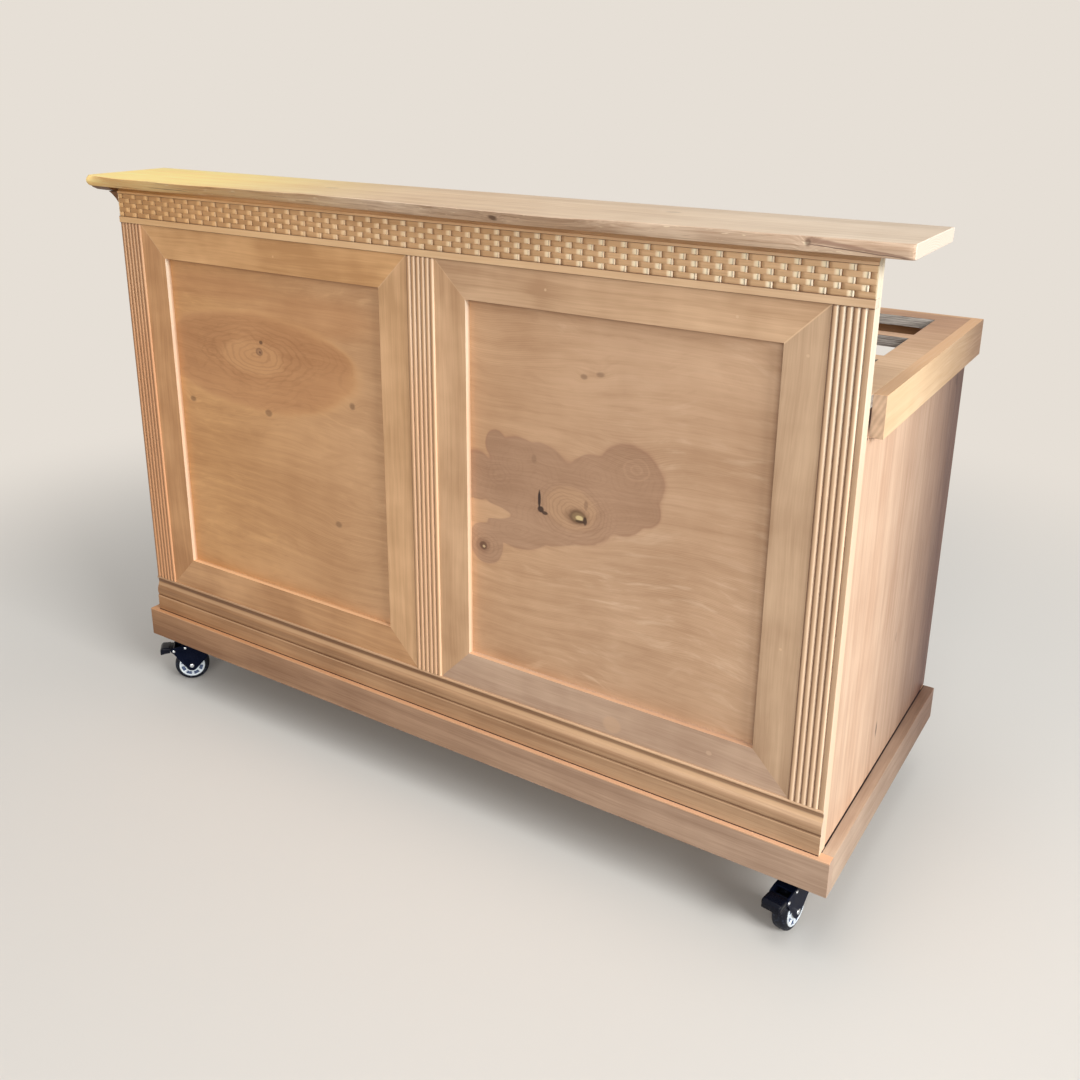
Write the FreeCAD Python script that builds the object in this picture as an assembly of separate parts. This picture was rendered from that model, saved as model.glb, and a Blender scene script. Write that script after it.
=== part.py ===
import FreeCAD, Part
import math
import os

# A home bar on four casters, in millimetres.
# Working axes: x runs along the bar from the left end of its front wall, y runs from the
# front plane of the wall's frames towards the person serving, z runs up from the floor.
# The saved pieces are moved so that the origin lies on the floor under the middle of the bar.

# Front wall: a plywood sheet with frames, pilasters and mouldings fixed on its face
wall_width = 1524.0
sheet_thick = 9.0
frame_thick = 12.0
stile_width = 63.5
top_rail_width = 62.7
bottom_rail_width = 66.5
frame_height = 783.1
pilaster_width = 58.5
reed_count = 6
reed_rise = 4.2
reed_front = 3.4
fillet_height = 12.6
fillet_front = 3.8

# Frieze of crowned rows between the fillet band and the cove
frieze_height = 44.5
frieze_rows = 5
row_front = 2.4
row_rise = 2.9

# Cove under the bar top
cove_height = 15.0
cove_front = 3.4
cove_lip = 5.0
cove_depth = 3.0

# Base moulding
base_height = 80.3
base_front = 6.0
base_flat = 36.0
groove_height = 2.4
groove_depth = 2.6
ovolo_height = 19.0
ovolo_rise = 1.6
cove_band_height = 15.5
cove_band_back = 0.8
cove_band_sag = 1.5
bead_radius = 2.6

# Bar top: one plank with a live front edge, undercut along most of its length
top_thick = 21.0
top_overhang = 51.0
top_rear = 165.0
edge_reach = 31.0
upper_wave = 34.0
upper_wave_shares = [0.0, 0.56, 0.62, 0.74, 0.47, 0.47, 0.29, 0.32, 0.44,
                     0.68, 0.82, 1.0, 0.35, 0.26, 0.26, 0.09, 0.0]
lower_wave = 14.0
lower_wave_shares = [0.0, 0.3, -0.85, -0.6, 0.05, 0.45, 0.2, 0.3, 0.0]
top_rear_round = 7.0
corbel_width = 33.0
corbel_drop = 28.0
corbel_thick = 19.0
pad_thick = 12.5
pad_reach = 24.0
pad_slope = 34.0
bracket_count = 4
bracket_thick = 20.0
bracket_reach = 112.0
bracket_drop = 120.0
bracket_toe = 24.0
bracket_inset = 190.0

# Plinth, its joists and the cabinet floor
plinth_height = 63.5
plinth_thick = 20.5
plinth_front_reach = 14.3
cabinet_depth = 609.6
floor_thick = 19.0
joist_thick = 38.0
block_thick = 27.0
block_length = 128.0
block_width = 112.0
block_behind_front = 15.0
block_inset_left = 2.0
block_inset_right = 10.0

# Cabinet body
side_thick = 19.0
side_rebate_deep = 2.0
side_rebate_high = 2.5
divider_thick = 19.0
shelf_thick = 18.0
shelf_front_gap = 6.0
shelf_rear_inset = 20.0
cleat_size = 18.0
lower_shelf_share = 0.322
upper_shelf_share = 0.644

# Counter with three drop-in wells
counter_thick = 19.0
counter_drop = 196.0
apron_thick = 19.5
apron_height = 63.5
apron_wall_gap = 10.0
rear_apron_thick = 12.0
well_count = 3
well_length = 330.0
well_width = 142.0
well_bar = 29.0
well_right_margin = 51.0
well_rear_margin = 41.6

# Casters
caster_height = 98.0
caster_trail = 28.0
caster_inset_x = 49.0
caster_inset_y = 66.0
caster_names = ["front_left", "front_right", "rear_left", "rear_right"]
caster_headings = {"front_left": -45.0, "front_right": -8.0, "rear_left": -128.0, "rear_right": -104.0}
plate_length = 92.0
plate_width = 66.0
plate_thick = 2.6
plate_chamfer = 7.0
race_radius = 25.0
race_height = 6.0
race_gap = 0.3
kingpin_radius = 5.0
nut_across = 17.0
nut_high = 5.0
fork_thick = 2.6
fork_gap = 30.0
fork_front = 36.0
fork_brow = 22.0
fork_waist_drop = 31.0
lobe_radius = 12.5
pin_margin = 8.0
running_gap = 0.06
body_gap = 0.4

wheel_radius = 38.0
tread_width = 26.0
rim_radius = 28.5
hub_width = 28.4
axle_radius = 4.0
pin_radius = 3.0
pin_back = 37.0
pin_above = 40.0

pedal_reach = 30.0
pedal_width = 35.0
pedal_skin = 3.0
pedal_drop = 16.0
pedal_top = 9.5
pedal_chamfer = 5.0
pedal_travel = 20.0
cam_half_root = 7.0
cam_gap = 0.5
cam_tip_width = 5.0

# One overrun serves every cut
overrun = 5.0

# Levels and places that follow from the sizes above
wall_back = frame_thick + sheet_thick
plinth_bottom = caster_height + block_thick
plinth_top = plinth_bottom + plinth_height
frame_bottom = plinth_top + base_height
frame_top = frame_bottom + frame_height
fillet_top = frame_top + fillet_height
frieze_top = fillet_top + frieze_height
wall_top = frieze_top + cove_height
bar_height = wall_top + top_thick
counter_top = wall_top - counter_drop
counter_bottom = counter_top - counter_thick
inner_height = counter_bottom - plinth_top
rear_reach = cabinet_depth + rear_apron_thick
divider_left = (wall_width - divider_thick) / 2
divider_right = (wall_width + divider_thick) / 2

os.makedirs("parts", exist_ok=True)


def save(node, *solids):
    """Move one sub-part's solids to the shared origin and write them as a STEP file."""
    shape = solids[0] if len(solids) == 1 else Part.makeCompound(list(solids))
    placed = shape.copy()
    placed.translate(origin_shift)
    placed.exportStep("parts/" + node + ".step")


def vector(x, y, z):
    return FreeCAD.Vector(x, y, z)


def block(x_range, y_range, z_range):
    """A box between pairs of limits."""
    size = [limits[1] - limits[0] for limits in (x_range, y_range, z_range)]
    return Part.makeBox(*size, vector(x_range[0], y_range[0], z_range[0]))


def outline(start, steps):
    """A closed face from a start point and steps: a point is a line, a pair is an arc."""
    edges = []
    here = start
    for step in steps:
        if isinstance(step, tuple):
            edges.append(Part.Arc(here, step[0], step[1]).toShape())
            here = step[1]
        else:
            edges.append(Part.LineSegment(here, step).toShape())
            here = step
    edges.append(Part.LineSegment(here, start).toShape())
    return Part.Face(Part.Wire(edges))


def prism(points, direction):
    """A straight-sided solid from a list of corner points."""
    return outline(points[0], points[1:]).extrude(direction)


def rod(radius, start, direction):
    """A cylinder from its start point along a direction."""
    return Part.makeCylinder(radius, direction.Length, start, direction)


def along_x(profile, x_range):
    """Extrude a profile of (y, z) steps between two x limits."""
    def lift(step):
        if isinstance(step[0], tuple):
            return tuple(lift(point) for point in step)
        return vector(x_range[0], step[0], step[1])
    face = outline(lift(profile[0]), [lift(step) for step in profile[1:]])
    return face.extrude(vector(x_range[1] - x_range[0], 0, 0))


# Front wall
def front_sheet():
    return block((0, wall_width), (frame_thick, wall_back), (plinth_top, wall_top))


def frame_pieces(left, right):
    """Four mitred boards of one frame: corners run from the outer to the inner rectangle."""
    inner_left = left + stile_width
    inner_right = right - stile_width
    inner_bottom = frame_bottom + bottom_rail_width
    inner_top = frame_top - top_rail_width
    outer = [vector(left, 0, frame_bottom), vector(right, 0, frame_bottom),
             vector(right, 0, frame_top), vector(left, 0, frame_top)]
    inner = [vector(inner_left, 0, inner_bottom), vector(inner_right, 0, inner_bottom),
             vector(inner_right, 0, inner_top), vector(inner_left, 0, inner_top)]
    boards = {}
    for index, name in enumerate(["bottom_rail", "right_stile", "top_rail", "left_stile"]):
        after = (index + 1) % len(outer)
        corners = [outer[index], outer[after], inner[after], inner[index]]
        boards[name] = prism(corners, vector(0, frame_thick, 0))
    return boards


def pilaster(left):
    """A reeded strip: convex reeds side by side on a flat back."""
    pitch = pilaster_width / reed_count
    valley = reed_rise - reed_front
    steps = [vector(left, valley, frame_bottom)]
    for index in range(reed_count):
        start = left + index * pitch
        crest = vector(start + pitch / 2, -reed_front, frame_bottom)
        steps.append((crest, vector(start + pitch, valley, frame_bottom)))
    steps.append(vector(left + pilaster_width, frame_thick, frame_bottom))
    face = outline(vector(left, frame_thick, frame_bottom), steps)
    return face.extrude(vector(0, 0, frame_height))


def fillet_band():
    return block((0, wall_width), (-fillet_front, frame_thick), (frame_top, fillet_top))


def frieze():
    """A strip with crowned rows running its whole length."""
    row_height = frieze_height / frieze_rows
    valley = row_rise - row_front
    profile = [(frame_thick, fillet_top), (valley, fillet_top)]
    for row in range(frieze_rows):
        bottom = fillet_top + row * row_height
        crest = (-row_front, bottom + row_height / 2)
        profile.append((crest, (valley, bottom + row_height)))
    profile.append((frame_thick, frieze_top))
    return along_x(profile, (0, wall_width))


def cove_moulding():
    bottom = frieze_top
    hollow = bottom + cove_lip
    middle = ((cove_depth - cove_front) / 2 + cove_depth / 2, (hollow + wall_top) / 2)
    profile = [(frame_thick, bottom), (-cove_front, bottom), (-cove_front, hollow),
               (middle, (cove_depth - cove_front, wall_top)), (frame_thick, wall_top)]
    return along_x(profile, (0, wall_width))


def base_moulding():
    """From the floor side up: a flat face, a groove, an ovolo, a cove and a small bead."""
    flat_top = plinth_top + base_flat
    groove_top = flat_top + groove_height
    ovolo_top = groove_top + ovolo_height
    cove_top = ovolo_top + cove_band_height
    bead_bottom = frame_bottom - 2 * bead_radius
    groove_y = groove_depth - base_front
    ovolo_bottom_y = -base_front + groove_depth / 2
    ovolo_top_y = (-base_front - cove_band_back) / 2
    ovolo_mid = ((ovolo_bottom_y + ovolo_top_y) / 2 - ovolo_rise, (groove_top + ovolo_top) / 2)
    cove_mid = ((ovolo_top_y - cove_band_back) / 2 + cove_band_sag, (ovolo_top + cove_top) / 2)
    bead_mid = (-cove_band_back - bead_radius, (bead_bottom + frame_bottom) / 2)
    profile = [(frame_thick, plinth_top), (-base_front, plinth_top), (-base_front, flat_top),
               (groove_y, flat_top), (ovolo_bottom_y, groove_top),
               (ovolo_mid, (ovolo_top_y, ovolo_top)),
               (cove_mid, (-cove_band_back, cove_top)), (-cove_band_back, bead_bottom),
               (bead_mid, (-cove_band_back, frame_bottom)), (frame_thick, frame_bottom)]
    return along_x(profile, (0, wall_width))


# Bar top and what carries it
def live_edge(wave, shares, level):
    """One arris of the plank's live edge: a smooth curve through evenly spaced places."""
    run = (wall_width + 2 * top_overhang) / (len(shares) - 1)
    places = [vector(index * run - top_overhang, -edge_reach - wave * share, level)
              for index, share in enumerate(shares)]
    curve = Part.BSplineCurve()
    curve.interpolate(places)
    return curve.toShape(), places[0], places[-1]


def bar_top():
    """A plank whose front face is ruled from its lower to its upper arris."""
    left = -top_overhang
    right = wall_width + top_overhang
    lower_front, low_left, low_right = live_edge(lower_wave, lower_wave_shares, wall_top)
    upper_front, high_left, high_right = live_edge(upper_wave, upper_wave_shares, bar_height)

    def face_level(front, start, end, level):
        rear = [vector(left, top_rear, level), vector(right, top_rear, level)]
        sides = [Part.LineSegment(end, rear[1]).toShape(), Part.LineSegment(rear[1], rear[0]).toShape(),
                 Part.LineSegment(rear[0], start).toShape()]
        return Part.Face(Part.Wire([front] + sides))

    faces = [face_level(upper_front, high_left, high_right, bar_height),
             face_level(lower_front, low_left, low_right, wall_top),
             Part.makeRuledSurface(lower_front, upper_front)]
    for low, high, x in ((low_left, high_left, left), (low_right, high_right, right)):
        corners = [low, high, vector(x, top_rear, bar_height), vector(x, top_rear, wall_top)]
        faces.append(outline(corners[0], corners[1:]))
    rear_corners = [vector(left, top_rear, wall_top), vector(right, top_rear, wall_top),
                    vector(right, top_rear, bar_height), vector(left, top_rear, bar_height)]
    faces.append(outline(rear_corners[0], rear_corners[1:]))
    shell = Part.makeShell(faces)
    shell.sewShape()
    plank = Part.makeSolid(shell)
    if plank.Volume < 0:
        plank.reverse()
    rear_low = [edge for edge in plank.Edges
                if abs(edge.CenterOfMass.y - top_rear) < body_gap
                and abs(edge.CenterOfMass.z - wall_top) < body_gap]
    return plank.makeFillet(top_rear_round, rear_low)


def corbel():
    """A pad under the top's left overhang, cut away at its front, and a gusset below it."""
    pad_bottom = wall_top - pad_thick
    gusset_front = wall_back - corbel_thick
    pad = prism([vector(-top_overhang, wall_back, wall_top), vector(-top_overhang, -pad_reach, wall_top),
                 vector(-top_overhang, pad_slope - pad_reach, pad_bottom),
                 vector(-top_overhang, wall_back, pad_bottom)], vector(top_overhang, 0, 0))
    gusset = prism([vector(0, gusset_front, pad_bottom), vector(-corbel_width, gusset_front, pad_bottom),
                    vector(0, gusset_front, pad_bottom - corbel_drop)], vector(0, corbel_thick, 0))
    return pad.fuse(gusset).removeSplitter()


def rear_brackets():
    """Gussets between the back of the wall and the underside of the bar top."""
    span = wall_width - 2 * bracket_inset - bracket_thick
    solids = []
    for index in range(bracket_count):
        left = bracket_inset + span * index / (bracket_count - 1)
        corners = [vector(left, wall_back, wall_top),
                   vector(left, wall_back + bracket_reach, wall_top),
                   vector(left, wall_back + bracket_reach, wall_top - bracket_toe),
                   vector(left, wall_back + bracket_toe, wall_top - bracket_drop),
                   vector(left, wall_back, wall_top - bracket_drop)]
        solids.append(prism(corners, vector(bracket_thick, 0, 0)))
    return solids


# Plinth, floor and caster blocks
plinth_levels = (plinth_bottom, plinth_top)
plinth_inner_front = plinth_thick - plinth_front_reach


def plinth_boards():
    full = (-plinth_thick, wall_width + plinth_thick)
    sides_y = (plinth_inner_front, cabinet_depth)
    return {
        "plinth_front": block(full, (-plinth_front_reach, plinth_inner_front), plinth_levels),
        "plinth_left": block((-plinth_thick, 0), sides_y, plinth_levels),
        "plinth_right": block((wall_width, wall_width + plinth_thick), sides_y, plinth_levels),
        "plinth_back": block((0, wall_width), (cabinet_depth - plinth_thick, cabinet_depth), plinth_levels),
    }


def joists():
    levels = (plinth_bottom, plinth_top - floor_thick)
    middle = (wall_width - joist_thick) / 2
    starts = [0, middle, wall_width - joist_thick]
    run = (plinth_inner_front, cabinet_depth - plinth_thick)
    return [block((start, start + joist_thick), run, levels) for start in starts]


def floor_board():
    return block((0, wall_width), (plinth_inner_front, cabinet_depth - plinth_thick),
                 (plinth_top - floor_thick, plinth_top))


def caster_blocks():
    """Blocks under the plinth's corners that the casters are screwed to."""
    left = -plinth_thick + block_inset_left
    right = wall_width + plinth_thick - block_inset_right
    front = plinth_inner_front + block_behind_front
    rear = cabinet_depth - block_behind_front
    levels = (plinth_bottom - block_thick, plinth_bottom)
    solids = []
    for x_range in ((left, left + block_length), (right - block_length, right)):
        for y_range in ((front, front + block_width), (rear - block_width, rear)):
            solids.append(block(x_range, y_range, levels))
    return solids


# Cabinet body
def side_panel(outer, inner):
    """A side panel with a rebate along its lower outer edge and a notch beside the apron's front end."""
    toward = 1 if outer > inner else -1
    panel = block((min(outer, inner), max(outer, inner)), (wall_back, cabinet_depth),
                  (plinth_top, counter_bottom))
    groove_x = sorted((outer - toward * side_rebate_deep, outer + toward * overrun))
    groove = block(groove_x, (wall_back - overrun, cabinet_depth + overrun),
                   (plinth_top - overrun, plinth_top + side_rebate_high))
    notch = block((min(outer, inner) - overrun, max(outer, inner) + overrun),
                  (wall_back - overrun, wall_back + apron_wall_gap),
                  (counter_top - apron_height, counter_top))
    return panel.cut(groove).cut(notch)


def divider():
    return block((divider_left, divider_right), (wall_back, cabinet_depth), (plinth_top, counter_bottom))


shelf_run = (wall_back + shelf_front_gap, cabinet_depth - shelf_rear_inset)


def shelf_and_cleats(left, right, rise):
    """A shelf between two uprights, and the two cleats that it rests on."""
    top = plinth_top + rise
    under = top - shelf_thick
    shelf = block((left, right), shelf_run, (under, top))
    cleat_levels = (under - cleat_size, under)
    cleats = [block((left, left + cleat_size), shelf_run, cleat_levels),
              block((right - cleat_size, right), shelf_run, cleat_levels)]
    return shelf, cleats


# Counter
def counter_board():
    board = block((0, wall_width), (wall_back, cabinet_depth), (counter_bottom, counter_top))
    right = wall_width - well_right_margin
    rear = cabinet_depth - well_rear_margin
    for index in range(well_count):
        back = rear - index * (well_width + well_bar)
        well = block((right - well_length, right), (back - well_width, back),
                     (counter_bottom - overrun, counter_top + overrun))
        board = board.cut(well)
    return board


def aprons():
    levels = (counter_top - apron_height, counter_top)
    run = (wall_back + apron_wall_gap, rear_reach)
    return {
        "apron_left": block((-apron_thick, 0), run, levels),
        "apron_right": block((wall_width, wall_width + apron_thick), run, levels),
        "apron_rear": block((0, wall_width), (cabinet_depth, rear_reach), levels),
    }


# Casters: built with the swivel axis at the origin, the plate's top at z = 0 and the
# wheel trailing towards -x, then turned to their heading and moved to their corner
wheel_x = -caster_trail
wheel_z = wheel_radius - caster_height
pin_x = wheel_x - pin_back
pin_z = wheel_z + pin_above
race_level = -plate_thick - race_height
fork_level = race_level - race_gap
nut_level = fork_level - fork_thick - race_gap


def across(x, z, radius, width):
    """A round bar across the caster, centred on its middle plane."""
    return rod(radius, vector(x, -width / 2, z), vector(0, width, 0))


def hexagon(centre, width, direction):
    """A hexagonal prism, by its width across flats."""
    radius = width / math.sqrt(3)
    turns = [math.radians(60 * corner) for corner in range(6)]
    corners = [centre + vector(radius * math.cos(turn), radius * math.sin(turn), 0) for turn in turns]
    return prism(corners, direction)


def swivel_plate():
    """The fixed half of the swivel: plate, bearing race, kingpin and the nut under the fork."""
    plate = Part.makeBox(plate_length, plate_width, plate_thick,
                         vector(-plate_length / 2, -plate_width / 2, -plate_thick))
    corners = [edge for edge in plate.Edges if abs(edge.tangentAt(0).z) > math.cos(math.pi / 4)]
    plate = plate.makeChamfer(plate_chamfer, corners)
    race = rod(race_radius, vector(0, 0, -plate_thick), vector(0, 0, -race_height))
    shaft = rod(kingpin_radius, vector(0, 0, race_level), vector(0, 0, nut_level - race_level))
    nut = hexagon(vector(0, 0, nut_level), nut_across, vector(0, 0, -nut_high))
    return plate.multiFuse([race, shaft, nut]).removeSplitter()


def fork_cheek(y, thickness):
    """One cheek: wide under the race, tapering to a round lobe at the axle."""
    waist = fork_level - fork_waist_drop
    lobe = math.cos(math.pi / 4) * lobe_radius
    front = wheel_x + fork_front
    steps = [vector(front, y, waist), vector(wheel_x + lobe, y, wheel_z - lobe),
             (vector(wheel_x, y, wheel_z - lobe_radius), vector(wheel_x - lobe, y, wheel_z - lobe)),
             vector(pin_x + pin_margin, y, waist), vector(pin_x, y, pin_z - pin_margin),
             vector(pin_x - pin_margin, y, pin_z), vector(pin_x, y, pin_z + pin_margin),
             vector(wheel_x - fork_brow, y, fork_level)]
    return outline(vector(front, y, fork_level), steps).extrude(vector(0, thickness, 0))


def fork():
    """A bent-sheet fork with its axle and pedal pin riveted in, bored for the kingpin."""
    inner = fork_gap / 2
    bridge = block((wheel_x - fork_brow, wheel_x + fork_front), (-inner, inner),
                   (fork_level - fork_thick, fork_level))
    pieces = [fork_cheek(-inner, -fork_thick), bridge, across(wheel_x, wheel_z, axle_radius, fork_gap),
              across(pin_x, pin_z, pin_radius, fork_gap)]
    whole = fork_cheek(inner, fork_thick).multiFuse(pieces).removeSplitter()
    bore = rod(kingpin_radius + running_gap, vector(0, 0, fork_level + overrun),
               vector(0, 0, -fork_thick - 2 * overrun))
    return whole.cut(bore)


def ring(outer, inner, width):
    """A ring about the wheel's axle."""
    return across(wheel_x, wheel_z, outer, width).cut(across(wheel_x, wheel_z, inner, width + overrun))


def tyre():
    return ring(wheel_radius, rim_radius + running_gap, tread_width)


def hub():
    return ring(rim_radius, axle_radius + running_gap, hub_width)


def cam():
    """The brake cam on the pedal's pin: it meets the tyre when the pedal is down."""
    width = fork_gap - 2 * body_gap
    reach = math.hypot(pin_back, pin_above) - wheel_radius - cam_gap
    turn = math.atan2(-pin_above, pin_back) - math.radians(pedal_travel)
    ahead = vector(math.cos(turn), 0, math.sin(turn))
    aside = vector(-ahead.z, 0, ahead.x)
    centre = vector(pin_x, -width / 2, pin_z)
    root = cam_half_root
    tip = centre + ahead * reach
    half_tip = aside * (cam_tip_width / 2)
    corners = [centre + aside * root, tip + half_tip, tip - half_tip, centre - aside * root,
               centre - aside * (root / 2) - ahead * root, centre + aside * (root / 2) - ahead * root]
    return prism(corners, vector(0, width, 0))


def pedal():
    """A hooded foot pad behind the cheeks, with an arm between them that carries the cam."""
    pad_start = pin_x - pin_margin - body_gap
    pad_end = pin_x - pedal_reach
    top = pin_z + pedal_top
    low = top - pedal_drop
    outer = [vector(pad_start, -pedal_width / 2, top), vector(pad_end + pedal_chamfer, -pedal_width / 2, top),
             vector(pad_end, -pedal_width / 2, top - pedal_chamfer),
             vector(pad_end, -pedal_width / 2, low), vector(pad_start, -pedal_width / 2, pin_z - pedal_skin)]
    pad = prism(outer, vector(0, pedal_width, 0))
    inner = pedal_skin - pedal_width / 2
    scoop = [vector(pad_start + overrun, inner, top - pedal_skin),
             vector(pad_end + pedal_chamfer, inner, top - pedal_skin),
             vector(pad_end + pedal_skin, inner, top - pedal_skin - pedal_chamfer / 2),
             vector(pad_end + pedal_skin, inner, low - overrun),
             vector(pad_start + overrun, inner, low - overrun)]
    pad = pad.cut(prism(scoop, vector(0, pedal_width - 2 * pedal_skin, 0)))
    arm_half = fork_gap / 2 - body_gap
    arm = block((pad_start - pedal_skin, pin_x), (-arm_half, arm_half), (pin_z, top - pedal_skin / 2))
    whole = pad.multiFuse([arm, cam()]).removeSplitter()
    return whole.cut(across(pin_x, pin_z, pin_radius + running_gap, fork_gap))


def corner_of(name):
    x = caster_inset_x if name.endswith("left") else wall_width - caster_inset_x
    y = caster_inset_y if name.startswith("front") else cabinet_depth - caster_inset_y
    return vector(x, y, caster_height)


def set_caster(solid, name, turned=True):
    """Turn a caster piece to its heading, measured from straight ahead, and move it to its corner."""
    placed = solid.copy()
    if turned:
        placed.rotate(vector(0, 0, 0), vector(0, 0, 1), 90 + caster_headings[name])
    placed.translate(corner_of(name))
    return placed


# The bar top reaches furthest forward, at the crest of its upper arris
upper_arris = live_edge(upper_wave, upper_wave_shares, bar_height)[0]
front_reach = -upper_arris.optimalBoundingBox(False, False).YMin
origin_shift = vector(-wall_width / 2, (front_reach - rear_reach) / 2, 0)

# Write every sub-part
save("front_sheet", front_sheet())
pilaster_starts = {"left": 0, "centre": (wall_width - pilaster_width) / 2,
                   "right": wall_width - pilaster_width}
for side, start in pilaster_starts.items():
    save("pilaster_" + side, pilaster(start))
frame_spans = {"left": (pilaster_width, pilaster_starts["centre"]),
               "right": (pilaster_starts["centre"] + pilaster_width, pilaster_starts["right"])}
for side, span in frame_spans.items():
    for piece, board in frame_pieces(*span).items():
        save(side + "_frame_" + piece, board)
save("fillet_band", fillet_band())
save("frieze", frieze())
save("cove_moulding", cove_moulding())
save("base_moulding", base_moulding())
save("bar_top", bar_top())
save("corbel_left", corbel())
save("top_brackets", *rear_brackets())
for name, board in plinth_boards().items():
    save(name, board)
save("plinth_joists", *joists())
save("floor_board", floor_board())
save("caster_blocks", *caster_blocks())
save("side_panel_left", side_panel(0, side_thick))
save("side_panel_right", side_panel(wall_width, wall_width - side_thick))
save("centre_divider", divider())
all_cleats = []
bays = {"left": (side_thick, divider_left), "right": (divider_right, wall_width - side_thick)}
for side, (start, end) in bays.items():
    for place, share in (("lower", lower_shelf_share), ("upper", upper_shelf_share)):
        shelf, cleats = shelf_and_cleats(start, end, share * inner_height)
        save("shelf_" + side + "_" + place, shelf)
        all_cleats += cleats
save("shelf_cleats", *all_cleats)
save("counter_board", counter_board())
for name, board in aprons().items():
    save(name, board)

plates = []
caster_parts = {"fork": fork(), "hub": hub(), "tyre": tyre(), "pedal": pedal()}
for name in caster_names:
    plates.append(set_caster(swivel_plate(), name, turned=False))
    for piece, solid in caster_parts.items():
        save("caster_" + name + "_" + piece, set_caster(solid, name))
save("caster_plates", *plates)
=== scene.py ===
from math import atan2, cos, exp, hypot, pi, radians, sin

import bmesh
import bpy
from mathutils import Matrix, Vector, noise


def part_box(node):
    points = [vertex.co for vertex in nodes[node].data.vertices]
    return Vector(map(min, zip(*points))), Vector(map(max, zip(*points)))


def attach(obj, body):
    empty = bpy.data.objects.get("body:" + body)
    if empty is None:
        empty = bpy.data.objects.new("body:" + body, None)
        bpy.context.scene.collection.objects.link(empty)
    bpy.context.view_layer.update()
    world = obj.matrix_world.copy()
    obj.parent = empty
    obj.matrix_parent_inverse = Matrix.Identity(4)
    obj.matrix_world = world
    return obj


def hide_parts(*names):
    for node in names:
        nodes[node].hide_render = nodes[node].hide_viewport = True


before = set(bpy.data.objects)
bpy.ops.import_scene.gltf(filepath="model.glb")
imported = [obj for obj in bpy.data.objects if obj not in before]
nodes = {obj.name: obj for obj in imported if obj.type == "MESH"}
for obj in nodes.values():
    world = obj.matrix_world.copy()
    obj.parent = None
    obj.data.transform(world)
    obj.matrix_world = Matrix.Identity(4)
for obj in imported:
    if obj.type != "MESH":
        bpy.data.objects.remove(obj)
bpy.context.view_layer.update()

# Places are written in millimetres from the wall's left end (x), from the frames' front plane (y)
# and from the floor (z). SHIFTS moves them, once in metres, into the row frame.
MM = 0.001
AXES = {"x": 0, "y": 1, "z": 2}
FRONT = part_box("left_frame_bottom_rail")[0].y
SHIFTS = (-0.762, FRONT, 0.0)

WALL = 1524.0
OVERHANG = 51.0
TOP_LOW, TOP_HIGH, TOP_REAR = 1124.0, 1145.0, 165.0
FRAME_LOW, FRAME_HIGH = 268.8, 1051.9
# Pilasters are PILASTER wide; the middle one starts at CENTRE and the last one at LAST
PILASTER, REEDS = 58.5, 6
CENTRE, LAST = (WALL - PILASTER) / 2, WALL - PILASTER

# The plank's live edge: how far its upper and lower arrises stand forward of the square line
EDGE_REACH, UPPER_WAVE, LOWER_WAVE = 31.0, 34.0, 14.0
UPPER = [0.0, 0.56, 0.62, 0.74, 0.47, 0.47, 0.29, 0.32, 0.44, 0.68, 0.82, 1.0, 0.35, 0.26, 0.26, 0.09, 0.0]
LOWER = [0.0, 0.3, -0.85, -0.6, 0.05, 0.45, 0.2, 0.3, 0.0]
EDGE_KNOTS = ((942, 1134), (1437, 1137))

# The frieze's weave
ROWS, ROW_HIGH, FRIEZE_LOW, PITCH = 5, 8.9, 1064.5, 19.0
FRIEZE_HIGH = FRIEZE_LOW + ROWS * ROW_HIGH

# Casters: x, y and heading of each, then places on a caster's own axes, whose origin is on the
# swivel axis at the plate's top
CASTERS = {"front_left": (49, 66, -45), "front_right": (1475, 66, -8),
           "rear_left": (49, 543.6, -128), "rear_right": (1475, 543.6, -104)}
CASTER_HIGH = 98.0
WHEEL = Vector((-28.0, 0.0, -60.0))
PIN = Vector((-65.0, 0.0, -20.0))
WHEEL_RADIUS, CHEEK = 38.0, 17.6

# The photograph's camera, fitted to the bar's straight edges: azimuth, elevation and roll in degrees
CAMERA_TURN = (33.281, 18.201, 0.147)
CAMERA_PLACE = (1.1756, -1.4924, 1.3595)
CAMERA_LENS = 37.80
CAMERA_SHIFT = (0.02115, -0.0967)

WORLD_LEVEL = 0.30
FLOOR_TONE = (217, 216, 213)
# Azimuth from straight ahead, elevation, level, size, tint
LAMPS = (("key", 74, 25, 0.80, (4.0, 3.0), (1.0, 0.98, 0.955)),
         ("front_fill", 22, 16, 0.42, (5.0, 3.0), (1.0, 0.955, 0.90)),
         ("top", 20, 80, 0.30, (5.0, 5.0), (1.0, 0.985, 0.96)))


def at(x, y, z):
    """A place in the row frame, from millimetres."""
    return Vector((x * MM + SHIFTS[0], y * MM + SHIFTS[1], z * MM))


def colour(red, green, blue):
    """A colour as the photograph shows it, 0 to 255, turned into scene-linear."""
    shares = [value / 255 for value in (red, green, blue)]
    return (*[share / 12.92 if share <= 0.04045 else ((share + 0.055) / 1.055) ** 2.4 for share in shares], 1.0)


BACKGROUND = colour(230, 223, 214)
# The painted highlight on faces that look along +X turns warmer between these heights, from the upper one down
WARM_BELOW = (770, 950)


# ---- Materials

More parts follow.
